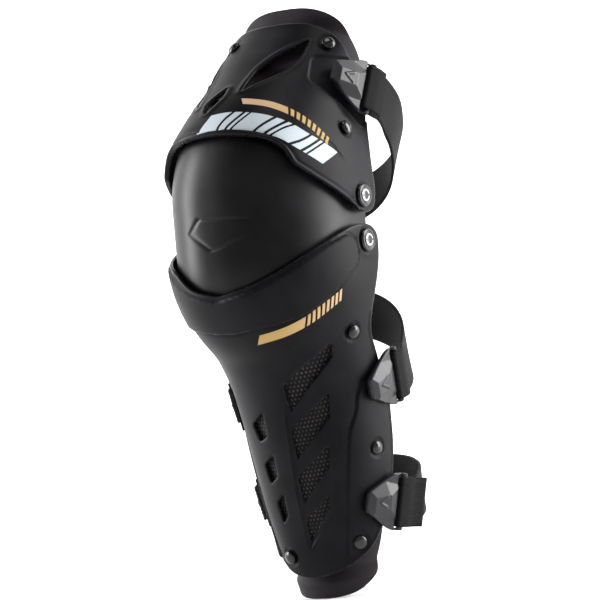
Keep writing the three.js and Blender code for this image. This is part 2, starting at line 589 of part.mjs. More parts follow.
// group, form, name, nose [deg, h], turn of the clip, anchor, back depth, sag
const strapPlan = [
  { group: thigh, form: thighForm, name: "thigh", nose: [50, 92], turn: -2, anchor: thighAnchor, back: 88, sag: -46 },
  { group: shin, form: shinForm, name: "upper_calf", nose: [74, -122], turn: 3, anchor: calfAnchor, back: 94, sag: 46 },
  { group: shin, form: shinForm, name: "lower_calf", nose: [54, -218], turn: -18, anchor: ankleAnchor, back: 76, sag: -4 },
];
for (const plan of strapPlan) {
  const { group, form, name, nose, turn, anchor } = plan;
  // the clip touches down a little behind its nose
  const radius = form.point(nose[0], nose[1]).setZ(0).length();
  const rest = nose[0] + 11 / (rad(1) * radius);
  const lift = Math.max(CLIP_LIFT,
    crown(form, rest, nose[1], turn, [-11, CLIP_LENGTH - 11], [-CLIP_WIDTH / 2, CLIP_WIDTH / 2]) + CLIP_CLEAR);
  const clip = add(group, `${name}_clip`, clipGeometry(), clipPlastic);
  seat(clip, form, rest, nose[1], lift, turn);
  clip.translateX(-11);
  const end = add(group, `${name}_strap_end`, strapEndGeometry(), webbing);
  end.quaternion.copy(clip.quaternion);
  end.position.copy(clip.position);
  const keeper = add(group, `${name}_keeper`, keeperGeometry(lift), nylon);
  keeper.quaternion.copy(clip.quaternion);
  keeper.position.copy(clip.position);
  keeper.translateZ(-lift + KEEPER_SEAT);
  clip.updateMatrix();

  // main strap: from the end piece behind the leg to the inner side of the shell
  const tail = new THREE.Vector3(CLIP_LENGTH + 13, 0, -0.6 - 0.75).applyMatrix4(clip.matrix);
  const heading = new THREE.Vector3(1, 0, 0).transformDirection(clip.matrix);
  const pinAt = form.point(anchor[0], anchor[1], 0.7 + STRAP_WEB / 2);
  const radiusAt = (deg, h) => {
    const v = form.point(deg, h, 0.7 + STRAP_WEB / 2);
    return Math.hypot(v.x, v.y);
  };
  const fromDeg = THREE.MathUtils.radToDeg(Math.atan2(tail.x, -tail.y));
  const innerEdge = -106;        // the strap leaves the shell here
  const first = Math.hypot(tail.x, tail.y);
  // it leaves from the widest place under it, so that its edges stay clear
  const climb = plan.sag * strapRise((360 + innerEdge - fromDeg) / (360 + anchor[0] - fromDeg));
  const sideWidth = Math.max(...[-0.5, -0.25, 0, 0.25, 0.5].map((t) =>
    radiusAt(innerEdge, anchor[1] + climb + t * STRAP_WIDTH)));
  // centre line in polar form: outer end, back of the limb, inner side, shell
  const mid = (deg) => {
    const f = (deg - fromDeg) / (360 + anchor[0] - fromDeg);
    const h = mix(tail.z, anchor[1], f) + plan.sag * strapRise(Math.min(1, Math.max(0, f)));
    if (deg >= 360 + innerEdge + 2) return { r: radiusAt(deg - 360, anchor[1]), h };
    const g = (deg - fromDeg) / (360 + innerEdge - fromDeg);
    const hoop = section(rad(deg), 1, plan.back / sideWidth, 2.2);
    const own = section(rad(fromDeg), 1, plan.back / sideWidth, 2.2);
    return { r: hoop * mix(first / own, sideWidth / section(rad(innerEdge), 1, plan.back / sideWidth, 2.2),
      g * g * (3 - 2 * g)), h };
  };
  const last = 360 + anchor[0] + 9;
  const at = (deg) => {
    const { r, h } = mid(deg);
    return new THREE.Vector3(r * Math.sin(rad(deg)), -r * Math.cos(rad(deg)), h);
  };
  const count = 28;
  const tilt = new THREE.Vector3(0, 1, 0).transformDirection(clip.matrix);
  const rows = Array.from({ length: count + 1 }, (_, i) => {
    const u = i / count, deg = mix(fromDeg, last, u);
    const p = i === 0 ? tail : at(deg);
    const run = at(deg + 1).sub(at(deg - 1)).normalize();
    if (i < 3) run.lerp(heading, [1, 0.6, 0.2][i]).normalize();
    // the web starts square to the clip and lies flat on the shell at the anchor
    const wide = tilt.clone().lerp(new THREE.Vector3(0, 0, 1), Math.min(1, u * 5))
      .addScaledVector(run, -tilt.clone().lerp(new THREE.Vector3(0, 0, 1), Math.min(1, u * 5)).dot(run) * (1 - u * 0.2)).normalize();
    const out = run.clone().cross(wide).normalize();
    return { p, wide, out, deg };
  });
  const web = padded((s, t, side) => {
    const { p, wide, out, deg } = rows[Math.round(s * count)];
    if (deg >= 360 + innerEdge + 2) {
      // on the shell: follow its curve across the whole width
      const h = anchor[1] + (t - 0.5) * STRAP_WIDTH + (mid(deg).h - anchor[1]);
      return form.point(deg - 360, h, side ? 0.7 + STRAP_WEB : 0.7);
    }
    return p.clone().addScaledVector(wide, (t - 0.5) * STRAP_WIDTH)
      .addScaledVector(out, side ? STRAP_WEB / 2 : -STRAP_WEB / 2);
  }, count, 4);

  // anchor: a plate over the strap with a pin through strap and shell
  const pinHole = add(group, "cutter", turned([[0, -3], [ANCHOR_HOLE / 2, -3], [ANCHOR_HOLE / 2, 6], [0, 6]], 10).rotateX(Math.PI / 2), nylon);
  seat(pinHole, form, anchor[0], anchor[1], 0);
  pinHole.updateMatrix();
  const cutter = pinHole.geometry.clone().applyMatrix4(pinHole.matrix);
  group.remove(pinHole);
  add(group, `${name}_strap`, fromSolid(solid(web).subtract(solid(cutter))), webbing);
  const long = STRAP_WIDTH / 2 - 6;
  const hump = crown(form, anchor[0], anchor[1], 0, [-14, 14], [-STRAP_WIDTH / 2, STRAP_WIDTH / 2]);
  const under = -SHELL_WALL - 2.6, top = 0.7 + STRAP_WEB + Math.max(1.2, hump + 0.5);
  const shank = ANCHOR_PIN / 2;
  const pin = turned([[0, under], [shank + 1.7, under], [shank + 1.7, under + 1], [shank, under + 1], [shank, top + 1], [0, top + 1]], 10)
    .rotateX(Math.PI / 2);
  const plate = new THREE.BoxGeometry(13, 2 * long, 2.4).translate(0, 0, top + 1.2);
  const held = add(group, `${name}_anchor`, fromSolid(solid(pin).add(solid(plate))), nylon);
  seat(held, form, anchor[0], anchor[1], 0);
}

export default object;
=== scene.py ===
"""Knee and shin guard for motocross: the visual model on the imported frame.

Millimetres inside the forms, metres in the meshes. The middle of the knee is
the origin, -Y is the front, +Z is up and +X is the outer side with the clips.
Every curved piece is a sheet or a pad laid on one of three forms: the thigh
form, the shin form and the knee cup form.
"""
import math
import bpy
import numpy as np
from bpy.props import FloatProperty, FloatVectorProperty, PointerProperty
from mathutils import Matrix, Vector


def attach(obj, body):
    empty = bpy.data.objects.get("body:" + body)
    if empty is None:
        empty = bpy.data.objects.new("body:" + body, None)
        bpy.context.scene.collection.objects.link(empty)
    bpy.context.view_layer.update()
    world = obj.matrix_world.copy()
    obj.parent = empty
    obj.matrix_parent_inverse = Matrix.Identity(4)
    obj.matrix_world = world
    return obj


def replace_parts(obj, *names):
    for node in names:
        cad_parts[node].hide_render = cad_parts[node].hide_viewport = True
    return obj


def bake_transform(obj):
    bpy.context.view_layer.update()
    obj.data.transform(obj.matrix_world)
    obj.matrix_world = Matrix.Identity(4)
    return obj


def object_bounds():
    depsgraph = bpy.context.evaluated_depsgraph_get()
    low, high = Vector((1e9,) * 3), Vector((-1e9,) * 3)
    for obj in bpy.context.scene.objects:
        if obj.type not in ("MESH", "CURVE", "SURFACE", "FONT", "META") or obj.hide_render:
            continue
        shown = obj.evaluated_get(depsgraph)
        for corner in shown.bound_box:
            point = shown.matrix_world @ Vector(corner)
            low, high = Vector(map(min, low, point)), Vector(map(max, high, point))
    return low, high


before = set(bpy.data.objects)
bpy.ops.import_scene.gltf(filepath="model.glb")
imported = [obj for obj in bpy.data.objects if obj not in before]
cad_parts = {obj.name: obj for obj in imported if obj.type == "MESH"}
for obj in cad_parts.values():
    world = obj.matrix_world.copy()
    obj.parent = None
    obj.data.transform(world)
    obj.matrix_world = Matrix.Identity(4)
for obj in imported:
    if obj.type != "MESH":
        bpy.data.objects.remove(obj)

CAD_BOX = [[float(c) for c in corner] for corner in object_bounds()]

bl_info = {
    "name": "Knee and shin guard",
    "version": (1, 0, 0),
    "blender": (4, 5, 0),
    "location": "3D View > Sidebar > Guard",
    "description": "Builds a hinged knee and shin guard piece by piece",
    "category": "Add Mesh",
}

# limb sections: height from the pivot axis, half width, depth in front
THIGH_WIDTH = ((-30, 79), (0, 79), (50, 71), (100, 71), (150, 67), (175, 65))
THIGH_DEPTH = ((-30, 90), (0, 96), (20, 95), (60, 90), (90, 80), (120, 68), (140, 61), (175, 55))
SHIN_WIDTH = ((-290, 48), (-200, 58), (-120, 65), (-60, 72), (0, 78), (30, 78))
SHIN_DEPTH = ((-290, 60), (-273, 62), (-203, 67), (-160, 67), (-115, 69), (-80, 78), (-48, 90),
              (0, 97), (30, 92))
PER_DEGREE = 1.3  # flat-pattern millimetres for one degree
BLEND = 6.0

# outlines: [degrees from the front, height, rounding]
THIGH_HALF = [
    [0, 9, 0], [28, 7, 6], [35, 2, 3], [41, -8, 3], [56, -11, 6], [78, -12, 6], [92, -15, 9],
    [104, -4, 9], [102, 14, 8], [95, 34, 12], [91, 64, 8], [88, 84, 8], [77, 104, 8],
    [65, 113, 8], [56, 129, 16], [36, 140, 14]]
LEAF_VENTS = [
    [[7, 56, 0], [6.5, 68, 4], [8, 85, 6], [16, 101, 8], [34, 121, 2], [31.5, 98, 8], [25, 82, 6],
     [13, 66, 6]],
    [[-37, 109, 2], [-28, 86, 6], [-16, 42, 2], [-27, 54, 6], [-42, 86, 6]],
    [[-3.5, 61, 0], [-2, 49, 5], [-7, 31, 2], [-10, 45, 6]]]
SHIN_HALF = [
    [20, -8, 8], [40, 4, 10], [60, 12, 8], [78, 16, 6], [92, 15, 9],
    [104, 4, 9], [101, -18, 10], [92, -50, 14], [86, -74, 12], [94, -102, 10], [103, -138, 12],
    [100, -176, 12], [92, -206, 14], [78, -232, 14], [58, -256, 16], [24, -271, 12]]
SHIN_INNER = [[12, -9, 6], [26, 8, 8],
              [42, 12, 8]] + SHIN_HALF[3:13] + [[76, -222, 14], [50, -246, 16], [20, -269, 12]]
SHIN_VENTS = [
    [[52, -74, 3], [52, -86, 3], [15, -127, 3], [15, -103, 4]],
    [[45, -116, 3], [43, -136, 3], [12, -168, 3], [12, -142, 4]],
    [[38, -160, 3], [35, -178, 3], [9.5, -207, 3], [9.5, -182, 4]],
    [[30, -202, 3], [28, -214, 3], [8, -242, 2], [8, -221, 4]]]
INNER_SLOTS = [
    [[-8, -125, 2], [-22, -136, 3], [-18, -151, 3], [-9, -146, 2]],
    [[-7.5, -163, 2], [-19, -171, 3], [-16, -188, 3], [-7, -181, 2]],
    [[-5.5, -197, 2], [-14, -205, 3], [-12, -223, 3], [-6, -216, 2]]]
BAND_HALF = [
    [20, -12, 6], [40, 0, 8], [58, 8, 6], [74, 11, 6], [80, 2, 8], [77, -16, 4], [64, -25, 8],
    [53, -34, 8], [38, -43, 8], [20, -45, 4]]
BAND_INNER = [[12, -13, 4], [28, 1, 6], [42, 8, 6]] + BAND_HALF[3:]
THIGH_RIVETS = {"top_outer": (47, 121), "top_inner": (-31, 122), "side_outer": (68, 49),
                "side_inner": (-68, 49)}
SHIN_RIVETS = {"knee_outer": (69, -71), "knee_inner": (-69, -71), "calf_outer": (77, -175),
               "calf_inner": (-77, -175),
               "ankle_outer": (46, -249), "ankle_inner": (-15, -254)}
# strap: body, clip nose, turn of the clip, anchor, depth behind the leg, sag
STRAPS = {
    "thigh": dict(body="thigh", nose=(50, 92), turn=-2, anchor=(-60, 84), back=88, sag=-46,
                  tail=15),
    "upper_calf": dict(body="shin", nose=(74, -122), turn=3, anchor=(-66, -126), back=94, sag=46,
                       tail=13),
    "lower_calf": dict(body="shin", nose=(54, -218), turn=-18, anchor=(-58, -212), back=76,
                       sag=-4, tail=27),
}


# --------------------------------------------------------------- properties
def length(name, text, millimetres):
    return FloatProperty(name=name, description=text, default=millimetres / 1000, unit="LENGTH",
                         precision=5)


def colour(name, text, value):
    return FloatVectorProperty(name=name, description=text, default=value, size=3,
                               subtype="COLOR", min=0, max=1)


class GuardSizes(bpy.types.PropertyGroup):
    """Sizes of the guard"""
    pivot_half: length("Pivot half spacing", "Each pivot axis above and below the middle", 18.5)
    thigh_lean: FloatProperty(name="Thigh lean", description="How far the thigh part leans back",
                              default=math.radians(28), unit="ROTATION")
    shin_lean: FloatProperty(name="Shin lean",
                             description="How far the foot of the shin part leans back",
                             default=math.radians(12), unit="ROTATION")
    cup_half_width: length("Cup half width", "Knee cup, outer, at the pivots", 76)
    cup_depth: length("Cup depth", "Knee cup, outer, in front of the pivots", 105)
    cup_wall: length("Cup wall", "Thickness of the knee cup", 3)
    shell_wall: length("Shell wall", "Thickness of the thigh and shin shells", 3)
    shell_gap: length("Shell gap", "Clearance between the shells and the cup", 2.5)
    band_step: length("Band step", "Raised band round the top of the shin shell", 2.4)
    liner_gap: length("Liner gap", "Liner behind the shells", 3.2)
    liner_pad: length("Liner thickness", "Thickness of the padded liners", 8.5)
    foam_pad: length("Foam thickness", "Foam sheet behind the shin vents", 3)
    knee_pad: length("Knee pad thickness", "Pad inside the knee cup", 9)
    strap_width: length("Strap width", "Width of the elastic straps", 43)
    strap_web: length("Strap thickness", "Thickness of the elastic straps", 2.2)
    clip_length: length("Clip length", "Hook clip from nose to bar", 42)
    clip_width: length("Clip width", "Hook clip across the bar", 49)
    clip_nose: length("Clip nose", "Width of the clip's nose", 17)
    clip_plate: length("Clip plate", "Thickness of the clip plate", 4.6)
    clip_lift: length("Clip lift", "Clip underside above the shell", 2.9)
    rivet_head: length("Rivet head", "Diameter of the rivet heads", 12)
    pivot_cap: length("Pivot cap", "Diameter of the pivot caps", 19)


class GuardColours(bpy.types.PropertyGroup):
    """Colours of the guard"""
    shell: colour("Shell", "Moulded shells", (0.0022, 0.0016, 0.0026))
    shell_worn: colour("Shell edge", "Rubbed edges of the moulded shells", (0.030, 0.027, 0.032))
    cup: colour("Cup", "Knee cup", (0.0016, 0.0014, 0.0019))
    gloss: colour("Gloss black", "Rivets and caps", (0.004, 0.004, 0.0045))
    clip: colour("Clip", "Hook clips", (0.0050, 0.0048, 0.0060))
    gold: colour("Gold", "Printed stripe", (0.50, 0.34, 0.12))
    peach: colour("Peach", "Light end of the printed stripe", (0.68, 0.46, 0.27))
    white: colour("White", "Printed blocks", (0.56, 0.62, 0.67))
    liner: colour("Liner", "Stretch cloth of the liners", (0.0125, 0.0085, 0.0115))
    thread: colour("Thread", "Seam thread", (0.03, 0.027, 0.031))
    foam: colour("Foam", "Foam behind the vents", (0.004, 0.004, 0.0042))
    dots: colour("Dots", "Raised dots of the foam", (0.070, 0.060, 0.054))
    web: colour("Webbing", "Elastic straps", (0.0020, 0.0020, 0.0024))
    nylon: colour("Nylon", "Keepers, anchors and washers", (0.012, 0.012, 0.014))


def sizes():
    return bpy.context.scene.guard_sizes


def mm(name):
    """A size in millimetres."""
    return getattr(sizes(), name) * 1000


# -------------------------------------------------------------------- forms
def along(table, h):
    """Smooth rise y(h) through stations: cubic Hermite pieces whose inner
    tangents are the harmonic mean 2ab/(a+b) of the neighbouring slopes."""
    x, y = np.asarray(table, float).T
    slope = np.diff(y) / np.diff(x)
    a, b = slope[:-1], slope[1:]
    total = np.where(a + b == 0, 1, a + b)
    m = np.concatenate([slope[:1], np.where(a * b <= 0, 0, 2 * a * b / total), slope[-1:]])
    h = np.clip(h, x[0], x[-1])
    i = np.clip(np.searchsorted(x, h) - 1, 0, len(x) - 2)
    w = x[i + 1] - x[i]
    t = (h - x[i]) / w
    return ((2 * t**3 - 3 * t**2 + 1) * y[i] + (t**3 - 2 * t**2 + t) * w * m[i]
            + (3 * t**2 - 2 * t**3) * y[i + 1] + (t**3 - t**2) * w * m[i + 1])


def section(phi, width, depth, power):
    """Polar radius of a superellipse: (|sin/w|^n + |cos/d|^n)^(-1/n)."""
    return (np.abs(np.sin(phi) / width) ** power
            + np.abs(np.cos(phi) / depth) ** power) ** (-1 / power)


def knuckle(phi, h, width, depth, power):
    """Polar radius r of a rounded body about the pivot's own axis, where
    |r sin/w|^n + ((r cos)^2 + h^2)^(n/2) / d^n = 1, found by halving."""
    phi, h = np.broadcast_arrays(np.asarray(phi, float), np.asarray(h, float))
    s, c = np.abs(np.sin(phi)), np.cos(phi)
    low, high = np.zeros(phi.shape), np.full(phi.shape, 160.0)
    for _ in range(30):
        r = (low + high) / 2
        inside = (r * s / width) ** power + (((r * c) ** 2 + h * h) / depth**2) ** (power / 2) < 1
        low, high = np.where(inside, r, low), np.where(inside, high, r)
    return (low + high) / 2


def larger(a, b, e):
    """Smooth maximum: (a + b + sqrt((a-b)^2 + e^2)) / 2."""
    return 0.5 * (a + b + np.sqrt((a - b) ** 2 + e * e))


def ramp(x, a, b):
    """Smooth step from 0 at a to 1 at b: t^2 (3 - 2t)."""
    t = np.clip((np.asarray(x, float) - a) / (b - a), 0, 1)
    return t * t * (3 - 2 * t)


class Form:
    """A polar surface round a limb: point = (r sin, -r cos, h) for degrees
    from the front and height, leaned about X and lifted to its pivot."""

    def __init__(self, radius, lean=0.0, lift=0.0):
        self.radius, self.lean, self.lift = radius, lean, lift

    def at(self, deg, h):
        phi = np.deg2rad(deg)
        r = self.radius(phi, h)
        return np.stack([r * np.sin(phi), -r * np.cos(phi), h + 0 * r], -1)

    def normal(self, deg, h):
        n = np.cross(self.at(deg + 0.5, h) - self.at(deg - 0.5, h),
                     self.at(deg, h + 0.5) - self.at(deg, h - 0.5))
        return n / np.linalg.norm(n, axis=-1, keepdims=True)

    def point(self, deg, h, out=0.0):
        deg, h, out = np.broadcast_arrays(np.asarray(deg, float), np.asarray(h, float),
                                          np.asarray(out, float))
        return self.at(deg, h) + self.normal(deg, h) * out[..., None]

    def world(self, p):
        """Local millimetres to metres in the row frame."""
        p = np.asarray(p, float)
        c, s = math.cos(self.lean), math.sin(self.lean)
        return np.stack([p[..., 0], p[..., 1] * c - p[..., 2] * s,
                         p[..., 1] * s + p[..., 2] * c + self.lift], -1) / 1000

    def seat(self, deg, h, out=0.0, turn=0.0):
        """Frame on the form: X round the limb, Z out of it, turned about Z."""
        n = self.normal(deg, h)
        x = np.cross([0, 0, 1], n)
        x /= np.linalg.norm(x)
        y = np.cross(n, x)
        c, s = math.cos(math.radians(turn)), math.sin(math.radians(turn))
        return np.stack([c * x + s * y, c * y - s * x, n]), self.point(deg, h, out)


def forms():
    """The thigh, shin and cup forms from the current sizes."""
    over = mm("shell_gap") + mm("shell_wall")
    cup = mm("cup_half_width"), mm("cup_depth"), 2.3
    half = mm("pivot_half")

    def limb(widths, depths, power):
        return lambda phi, h: larger(knuckle(phi, h, cup[0] + over, cup[1] + over, cup[2]),
                                     section(phi, along(widths, h), along(depths, h), power),
                                     BLEND)
    return {
        "thigh": Form(limb(THIGH_WIDTH, THIGH_DEPTH, 2.4), -sizes().thigh_lean, half),
        "shin": Form(limb(SHIN_WIDTH, SHIN_DEPTH, 2.1), sizes().shin_lean, -half),
        "knee": Form(lambda phi, z: knuckle(phi, np.maximum(np.abs(z) - half, 0), *cup)),
    }


# ----------------------------------------------------------------- outlines
def mirrored(corners):
    return [[-d, h, r] for d, h, r in corners][::-1]


def outline(corners, scale=PER_DEGREE, steps=7):
    """Closed outline through [x, y, rounding] corners, each corner a
    quadratic curve p = (1-t)^2 a + 2t(1-t) c + t^2 b."""
    c = np.array([[x * scale, y] for x, y, _ in corners], float)
    r = np.array([k[2] for k in corners], float)[:, None]
    a, b = np.roll(c, 1, 0), np.roll(c, -1, 0)
    la, lb = np.linalg.norm(a - c, axis=1,
                            keepdims=True), np.linalg.norm(b - c, axis=1, keepdims=True)
    q0, q1 = c + (a - c) * np.minimum(r / la, 0.48), c + (b - c) * np.minimum(r / lb, 0.48)
    t = np.linspace(0, 1, steps)[None, :, None]
    p = (1 - t) ** 2 * q0[:, None] + 2 * t * (1 - t) * c[:, None] + t**2 * q1[:, None]
    p = p.reshape(-1, 2)
    return p[np.linalg.norm(p - np.roll(p, 1, 0), axis=1) > 1e-6]


def circle(x, y, radius, stretch=1.0, n=40):
    a = np.linspace(0, 2 * np.pi, n, endpoint=False)
    return np.stack([x + np.cos(a) * radius * stretch, y + np.sin(a) * radius], 1)


def inside_of(poly, x, y):
    """Signed distance to a closed outline, positive inside."""
    best = np.full(x.shape, 1e9)
    odd = np.zeros(x.shape, bool)
    for a, b in zip(poly, np.roll(poly, -1, 0)):  # one pass for each side of the outline
        e = b - a
        t = np.clip(((x - a[0]) * e[0] + (y - a[1]) * e[1]) / (e @ e), 0, 1)
        best = np.minimum(best, (x - a[0] - t * e[0]) ** 2 + (y - a[1] - t * e[1]) ** 2)
        if a[1] != b[1]:
            odd ^= ((a[1] > y) != (b[1] > y)) & (x < a[0] + (y - a[1]) * e[0] / e[1])
    return np.where(odd, 1, -1) * np.sqrt(best)


def beside(path, x, y):
    """Distance along an open path and signed distance to its left, in flat
    millimetres, from the nearest side."""
    path = np.asarray(path, float)
    seg = np.diff(path, axis=0)
    size = np.linalg.norm(seg, axis=1)
    start = np.concatenate([[0], np.cumsum(size)[:-1]])
    best = np.full(x.shape, 1e9)
    run, side = np.zeros(x.shape), np.zeros(x.shape)
    last = len(seg) - 1
    for i, (a, e, n, s0) in enumerate(zip(path, seg, size,
                                          start)):  # one pass for each side of the path
        t = ((x - a[0]) * e[0] + (y - a[1]) * e[1]) / (n * n)
        t = np.clip(t, -9 if i == 0 else 0, 9 if i == last else 1)
        dx, dy = x - a[0] - t * e[0], y - a[1] - t * e[1]
        d = dx * dx + dy * dy
        near = d < best
        best = np.where(near, d, best)
        run = np.where(near, s0 + t * n, run)
        side = np.where(near, np.sign(e[0] * dy - e[1] * dx) * np.sqrt(d), side)
    return run, side


def flat(points):
    """Degrees and heights to flat-pattern millimetres, smoothed into a curve
    through the points by the along() tangents."""
    p = np.asarray(points, float) * [PER_DEGREE, 1]
    k = np.arange(len(p))
    t = np.linspace(0, len(p) - 1, 8 * (len(p) - 1) + 1)
    return np.stack([along(np.stack([k, p[:, 0]], 1), t), along(np.stack([k, p[:, 1]], 1), t)], 1)


# ------------------------------------------------------------------- meshes
def make(name, points, faces, values=None, smooth=True):
    """Mesh object from metres and faces, with named per-point values."""
    mesh = bpy.data.meshes.new(name)
    mesh.from_pydata(points.tolist(), [],
                     faces.tolist() if isinstance(faces, np.ndarray) else faces)
    for key, value in (values or {}).items():
        value = np.asarray(value, np.float32)
        layer = mesh.attributes.new(key, "FLOAT_VECTOR" if value.ndim == 2 else "FLOAT", "POINT")
        layer.data.foreach_set("vector" if value.ndim == 2 else "value", value.ravel())
    if smooth:
        mesh.polygons.foreach_set("use_smooth", np.ones(len(mesh.polygons), bool))
    mesh.validate()
    mesh.update()
    obj = bpy.data.objects.new(name, mesh)
    bpy.context.scene.collection.objects.link(obj)
    return obj


def triangles(field, low, high, step):
    """Flat triangles of the region where field > 0. Grid points nearer than
    a third of a cell slide down the gradient on to the edge, and triangles
    that still cross it are cut where the field is zero."""
    nx, ny = [int(math.ceil((b - a) / step)) + 1 for a, b in zip(low, high)]
    x, y = np.meshgrid(low[0] + step * np.arange(nx), low[1] + step * np.arange(ny),
                       indexing="ij")
    f = field(x, y)
    g = np.stack(np.gradient(f, step, step), -1)
    g /= np.maximum(np.linalg.norm(g, axis=-1, keepdims=True), 1e-6)
    near = np.abs(f) < 0.36 * step
    slide = np.where(near, f, 0)[..., None] * g
    p = (np.stack([x, y], -1) - slide).reshape(-1, 2)
    f = np.where(near, 0, f).ravel()
    g = g.reshape(-1, 2)
    idx = np.arange(nx * ny).reshape(nx, ny)
    a, b, c, d = idx[:-1, :-1], idx[1:, :-1], idx[1:, 1:], idx[:-1, 1:]
    odd = ((np.arange(nx - 1)[:, None] + np.arange(ny - 1)[None]) % 2).astype(bool)
    one = np.where(odd[..., None], np.stack([a, b, c], -1), np.stack([a, b, d], -1))
    two = np.where(odd[..., None], np.stack([a, c, d], -1), np.stack([b, c, d], -1))
    tri = np.concatenate([one.reshape(-1, 3), two.reshape(-1, 3)])
    s = np.sign(f)[tri]
    pos, neg = (s > 0).sum(1), (s < 0).sum(1)
    keep = [tri[(neg == 0) & (pos > 0)]]
    made, count = {"p": [], "g": []}, [len(p)]

    def crossing(i, j):
        lo, hi = np.minimum(i, j), np.maximum(i, j)
        key, back = np.unique(lo * np.int64(len(f)) + hi, return_inverse=True)
        lo, hi = key // len(f), key % len(f)
        t = (f[lo] / (f[lo] - f[hi]))[:, None]
        made["p"].append(p[lo] * (1 - t) + p[hi] * t)
        made["g"].append(g[lo] * (1 - t) + g[hi] * t)
        first = count[0]
        count[0] += len(key)
        return first + back

    def turned(mask, sign):
        t, v = tri[mask], s[mask]
        k = np.argmax(v == sign, 1)[:, None]
        return np.take_along_axis(t, (k + np.arange(3)) % 3, 1)

    alone, two_in = turned((pos == 1) & (neg == 2), 1), turned((pos == 2) & (neg == 1), -1)
    touch = turned((pos == 1) & (neg == 1), 1)
    after = f[touch[:, 1]] < 0  # the point after the kept one is outside
    i = np.concatenate([alone[:, 0], alone[:, 0], two_in[:, 0], two_in[:, 0], touch[:, 0]])
    j = np.concatenate([alone[:, 1], alone[:, 2], two_in[:, 1], two_in[:, 2],
                        np.where(after, touch[:, 1], touch[:, 2])])
    e = crossing(i, j)
    n1, n2 = len(alone), len(two_in)
    e1, e2, e3, e4, e5 = np.split(e, np.cumsum([n1, n1, n2, n2]))
    keep.append(np.stack([alone[:, 0], e1, e2], 1))
    keep.append(np.stack([e3, two_in[:, 1], two_in[:, 2]], 1))
    keep.append(np.stack([e3, two_in[:, 2], e4], 1))
    keep.append(np.where(after[:, None], np.stack([touch[:, 0], e5, touch[:, 2]], 1),
                         np.stack([touch[:, 0], touch[:, 1], e5], 1)))
    tri = np.concatenate(keep)
    p, g = np.concatenate([p] + made["p"]), np.concatenate([g] + made["g"])
    used, back = np.unique(tri, return_inverse=True)
    g = g[used]
    return p[used], g / np.maximum(np.linalg.norm(g, axis=1, keepdims=True),
                                   1e-6), back.reshape(-1, 3)


def sheet(name, field, low, high, step, place, outer, inner, edge, extra=None, rows=5):
    """A sheet cut to the region field > 0, with rounded edges. The faces stop
    edge inside it, and the wall bulges back out to it over rows of points:
    shift = edge (1 - |cos a|^3)^(1/3), depth from outer to inner as
    (1 - cos a) / 2, a from 0 to pi. place lays flat points at an offset."""
    p, g, tri = triangles(lambda x, y: field(x, y) - edge, low, high, step)
    n = len(p)
    directed = np.concatenate([tri[:, [0, 1]], tri[:, [1, 2]], tri[:, [2, 0]]])
    key, other = directed[:, 0] * n + directed[:, 1], directed[:, 1] * n + directed[:, 0]
    rim = directed[~np.isin(key, other)]
    loop, at = np.unique(rim, return_inverse=True)
    at = at.reshape(-1, 2)
    top, low_side = outer(p[:, 0], p[:, 1]), inner(p[:, 0], p[:, 1])
    parts = [place(p[:, 0], p[:, 1], top), place(p[:, 0], p[:, 1], low_side)]
    flats = [p, p]
    row = [loop]
    for k in range(1, rows + 1):
        a = math.pi * k / (rows + 1)
        q = p[loop] - g[loop] * edge * (1 - abs(math.cos(a)) ** 3) ** (1 / 3)
        t = (1 - math.cos(a)) / 2
        parts.append(place(q[:, 0], q[:, 1], top[loop] * (1 - t) + low_side[loop] * t))
        flats.append(q)
        row.append(2 * n + (k - 1) * len(loop) + np.arange(len(loop)))
    row.append(loop + n)
    walls = [np.stack([r0[at[:, 0]], r1[at[:, 0]], r1[at[:, 1]], r0[at[:, 1]]], 1) for r0,
             r1 in zip(row[:-1], row[1:])]
    faces = tri.tolist() + (tri[:, ::-1] + n).tolist() + np.concatenate(walls).tolist()
    q = np.concatenate(flats)
    f = field(q[:, 0], q[:, 1])
    values = {"flat": np.column_stack([q, np.clip(f, -1, 30)])}
    for key, fn in (extra or {}).items():
        values[key] = fn(q[:, 0], q[:, 1])
        values[key][n:, 2] = 0  # only the outer face is printed
    return make(name, np.concatenate(parts), faces, values)


def rounded_grid(name, place, thick, nu, nv, values=None, wrap=False):
    """A closed padded sheet on a grid: place(s, t, w) with w from -1, the
    inside, to 1, the outside, and thick the half thickness that goes to zero
    on the rim. The two sides share their rim points."""
    def spread(n):  # finer towards both ends
        t = np.linspace(0, 1, n + 1)
        return 0.5 - 0.5 * np.cos(np.pi
                                  * (0.12 + 0.76 * t)) / math.cos(math.pi * 0.12) if n > 8 else t
    s, t = np.meshgrid(spread(nu), spread(nv), indexing="ij")
    out, back = place(s, t, thick(s, t)), place(s, t, -thick(s, t))
    idx = np.arange((nu + 1) * (nv + 1)).reshape(nu + 1, nv + 1)
    rim = np.zeros(idx.shape, bool)
    rim[[0, -1]] = rim[:, [0, -1]] = True
    under = np.where(rim, idx, idx.size + np.cumsum(~rim.ravel()).reshape(rim.shape) - 1)
    points = np.concatenate([out.reshape(-1, 3), back.reshape(-1, 3)[~rim.ravel()]])
    quad = lambda i: np.stack([i[:-1, :-1], i[1:, :-1], i[1:, 1:], i[:-1, 1:]], -1).reshape(-1, 4)
    faces = np.concatenate([quad(idx), quad(under)[:, ::-1]])
    extra = {}
    for key, fn in (values or {}).items():
        v = fn(s, t)
        v = v.reshape(-1, v.shape[-1])
        extra[key] = np.concatenate([v, v[~rim.ravel()]])
    return make(name, points, faces, extra)


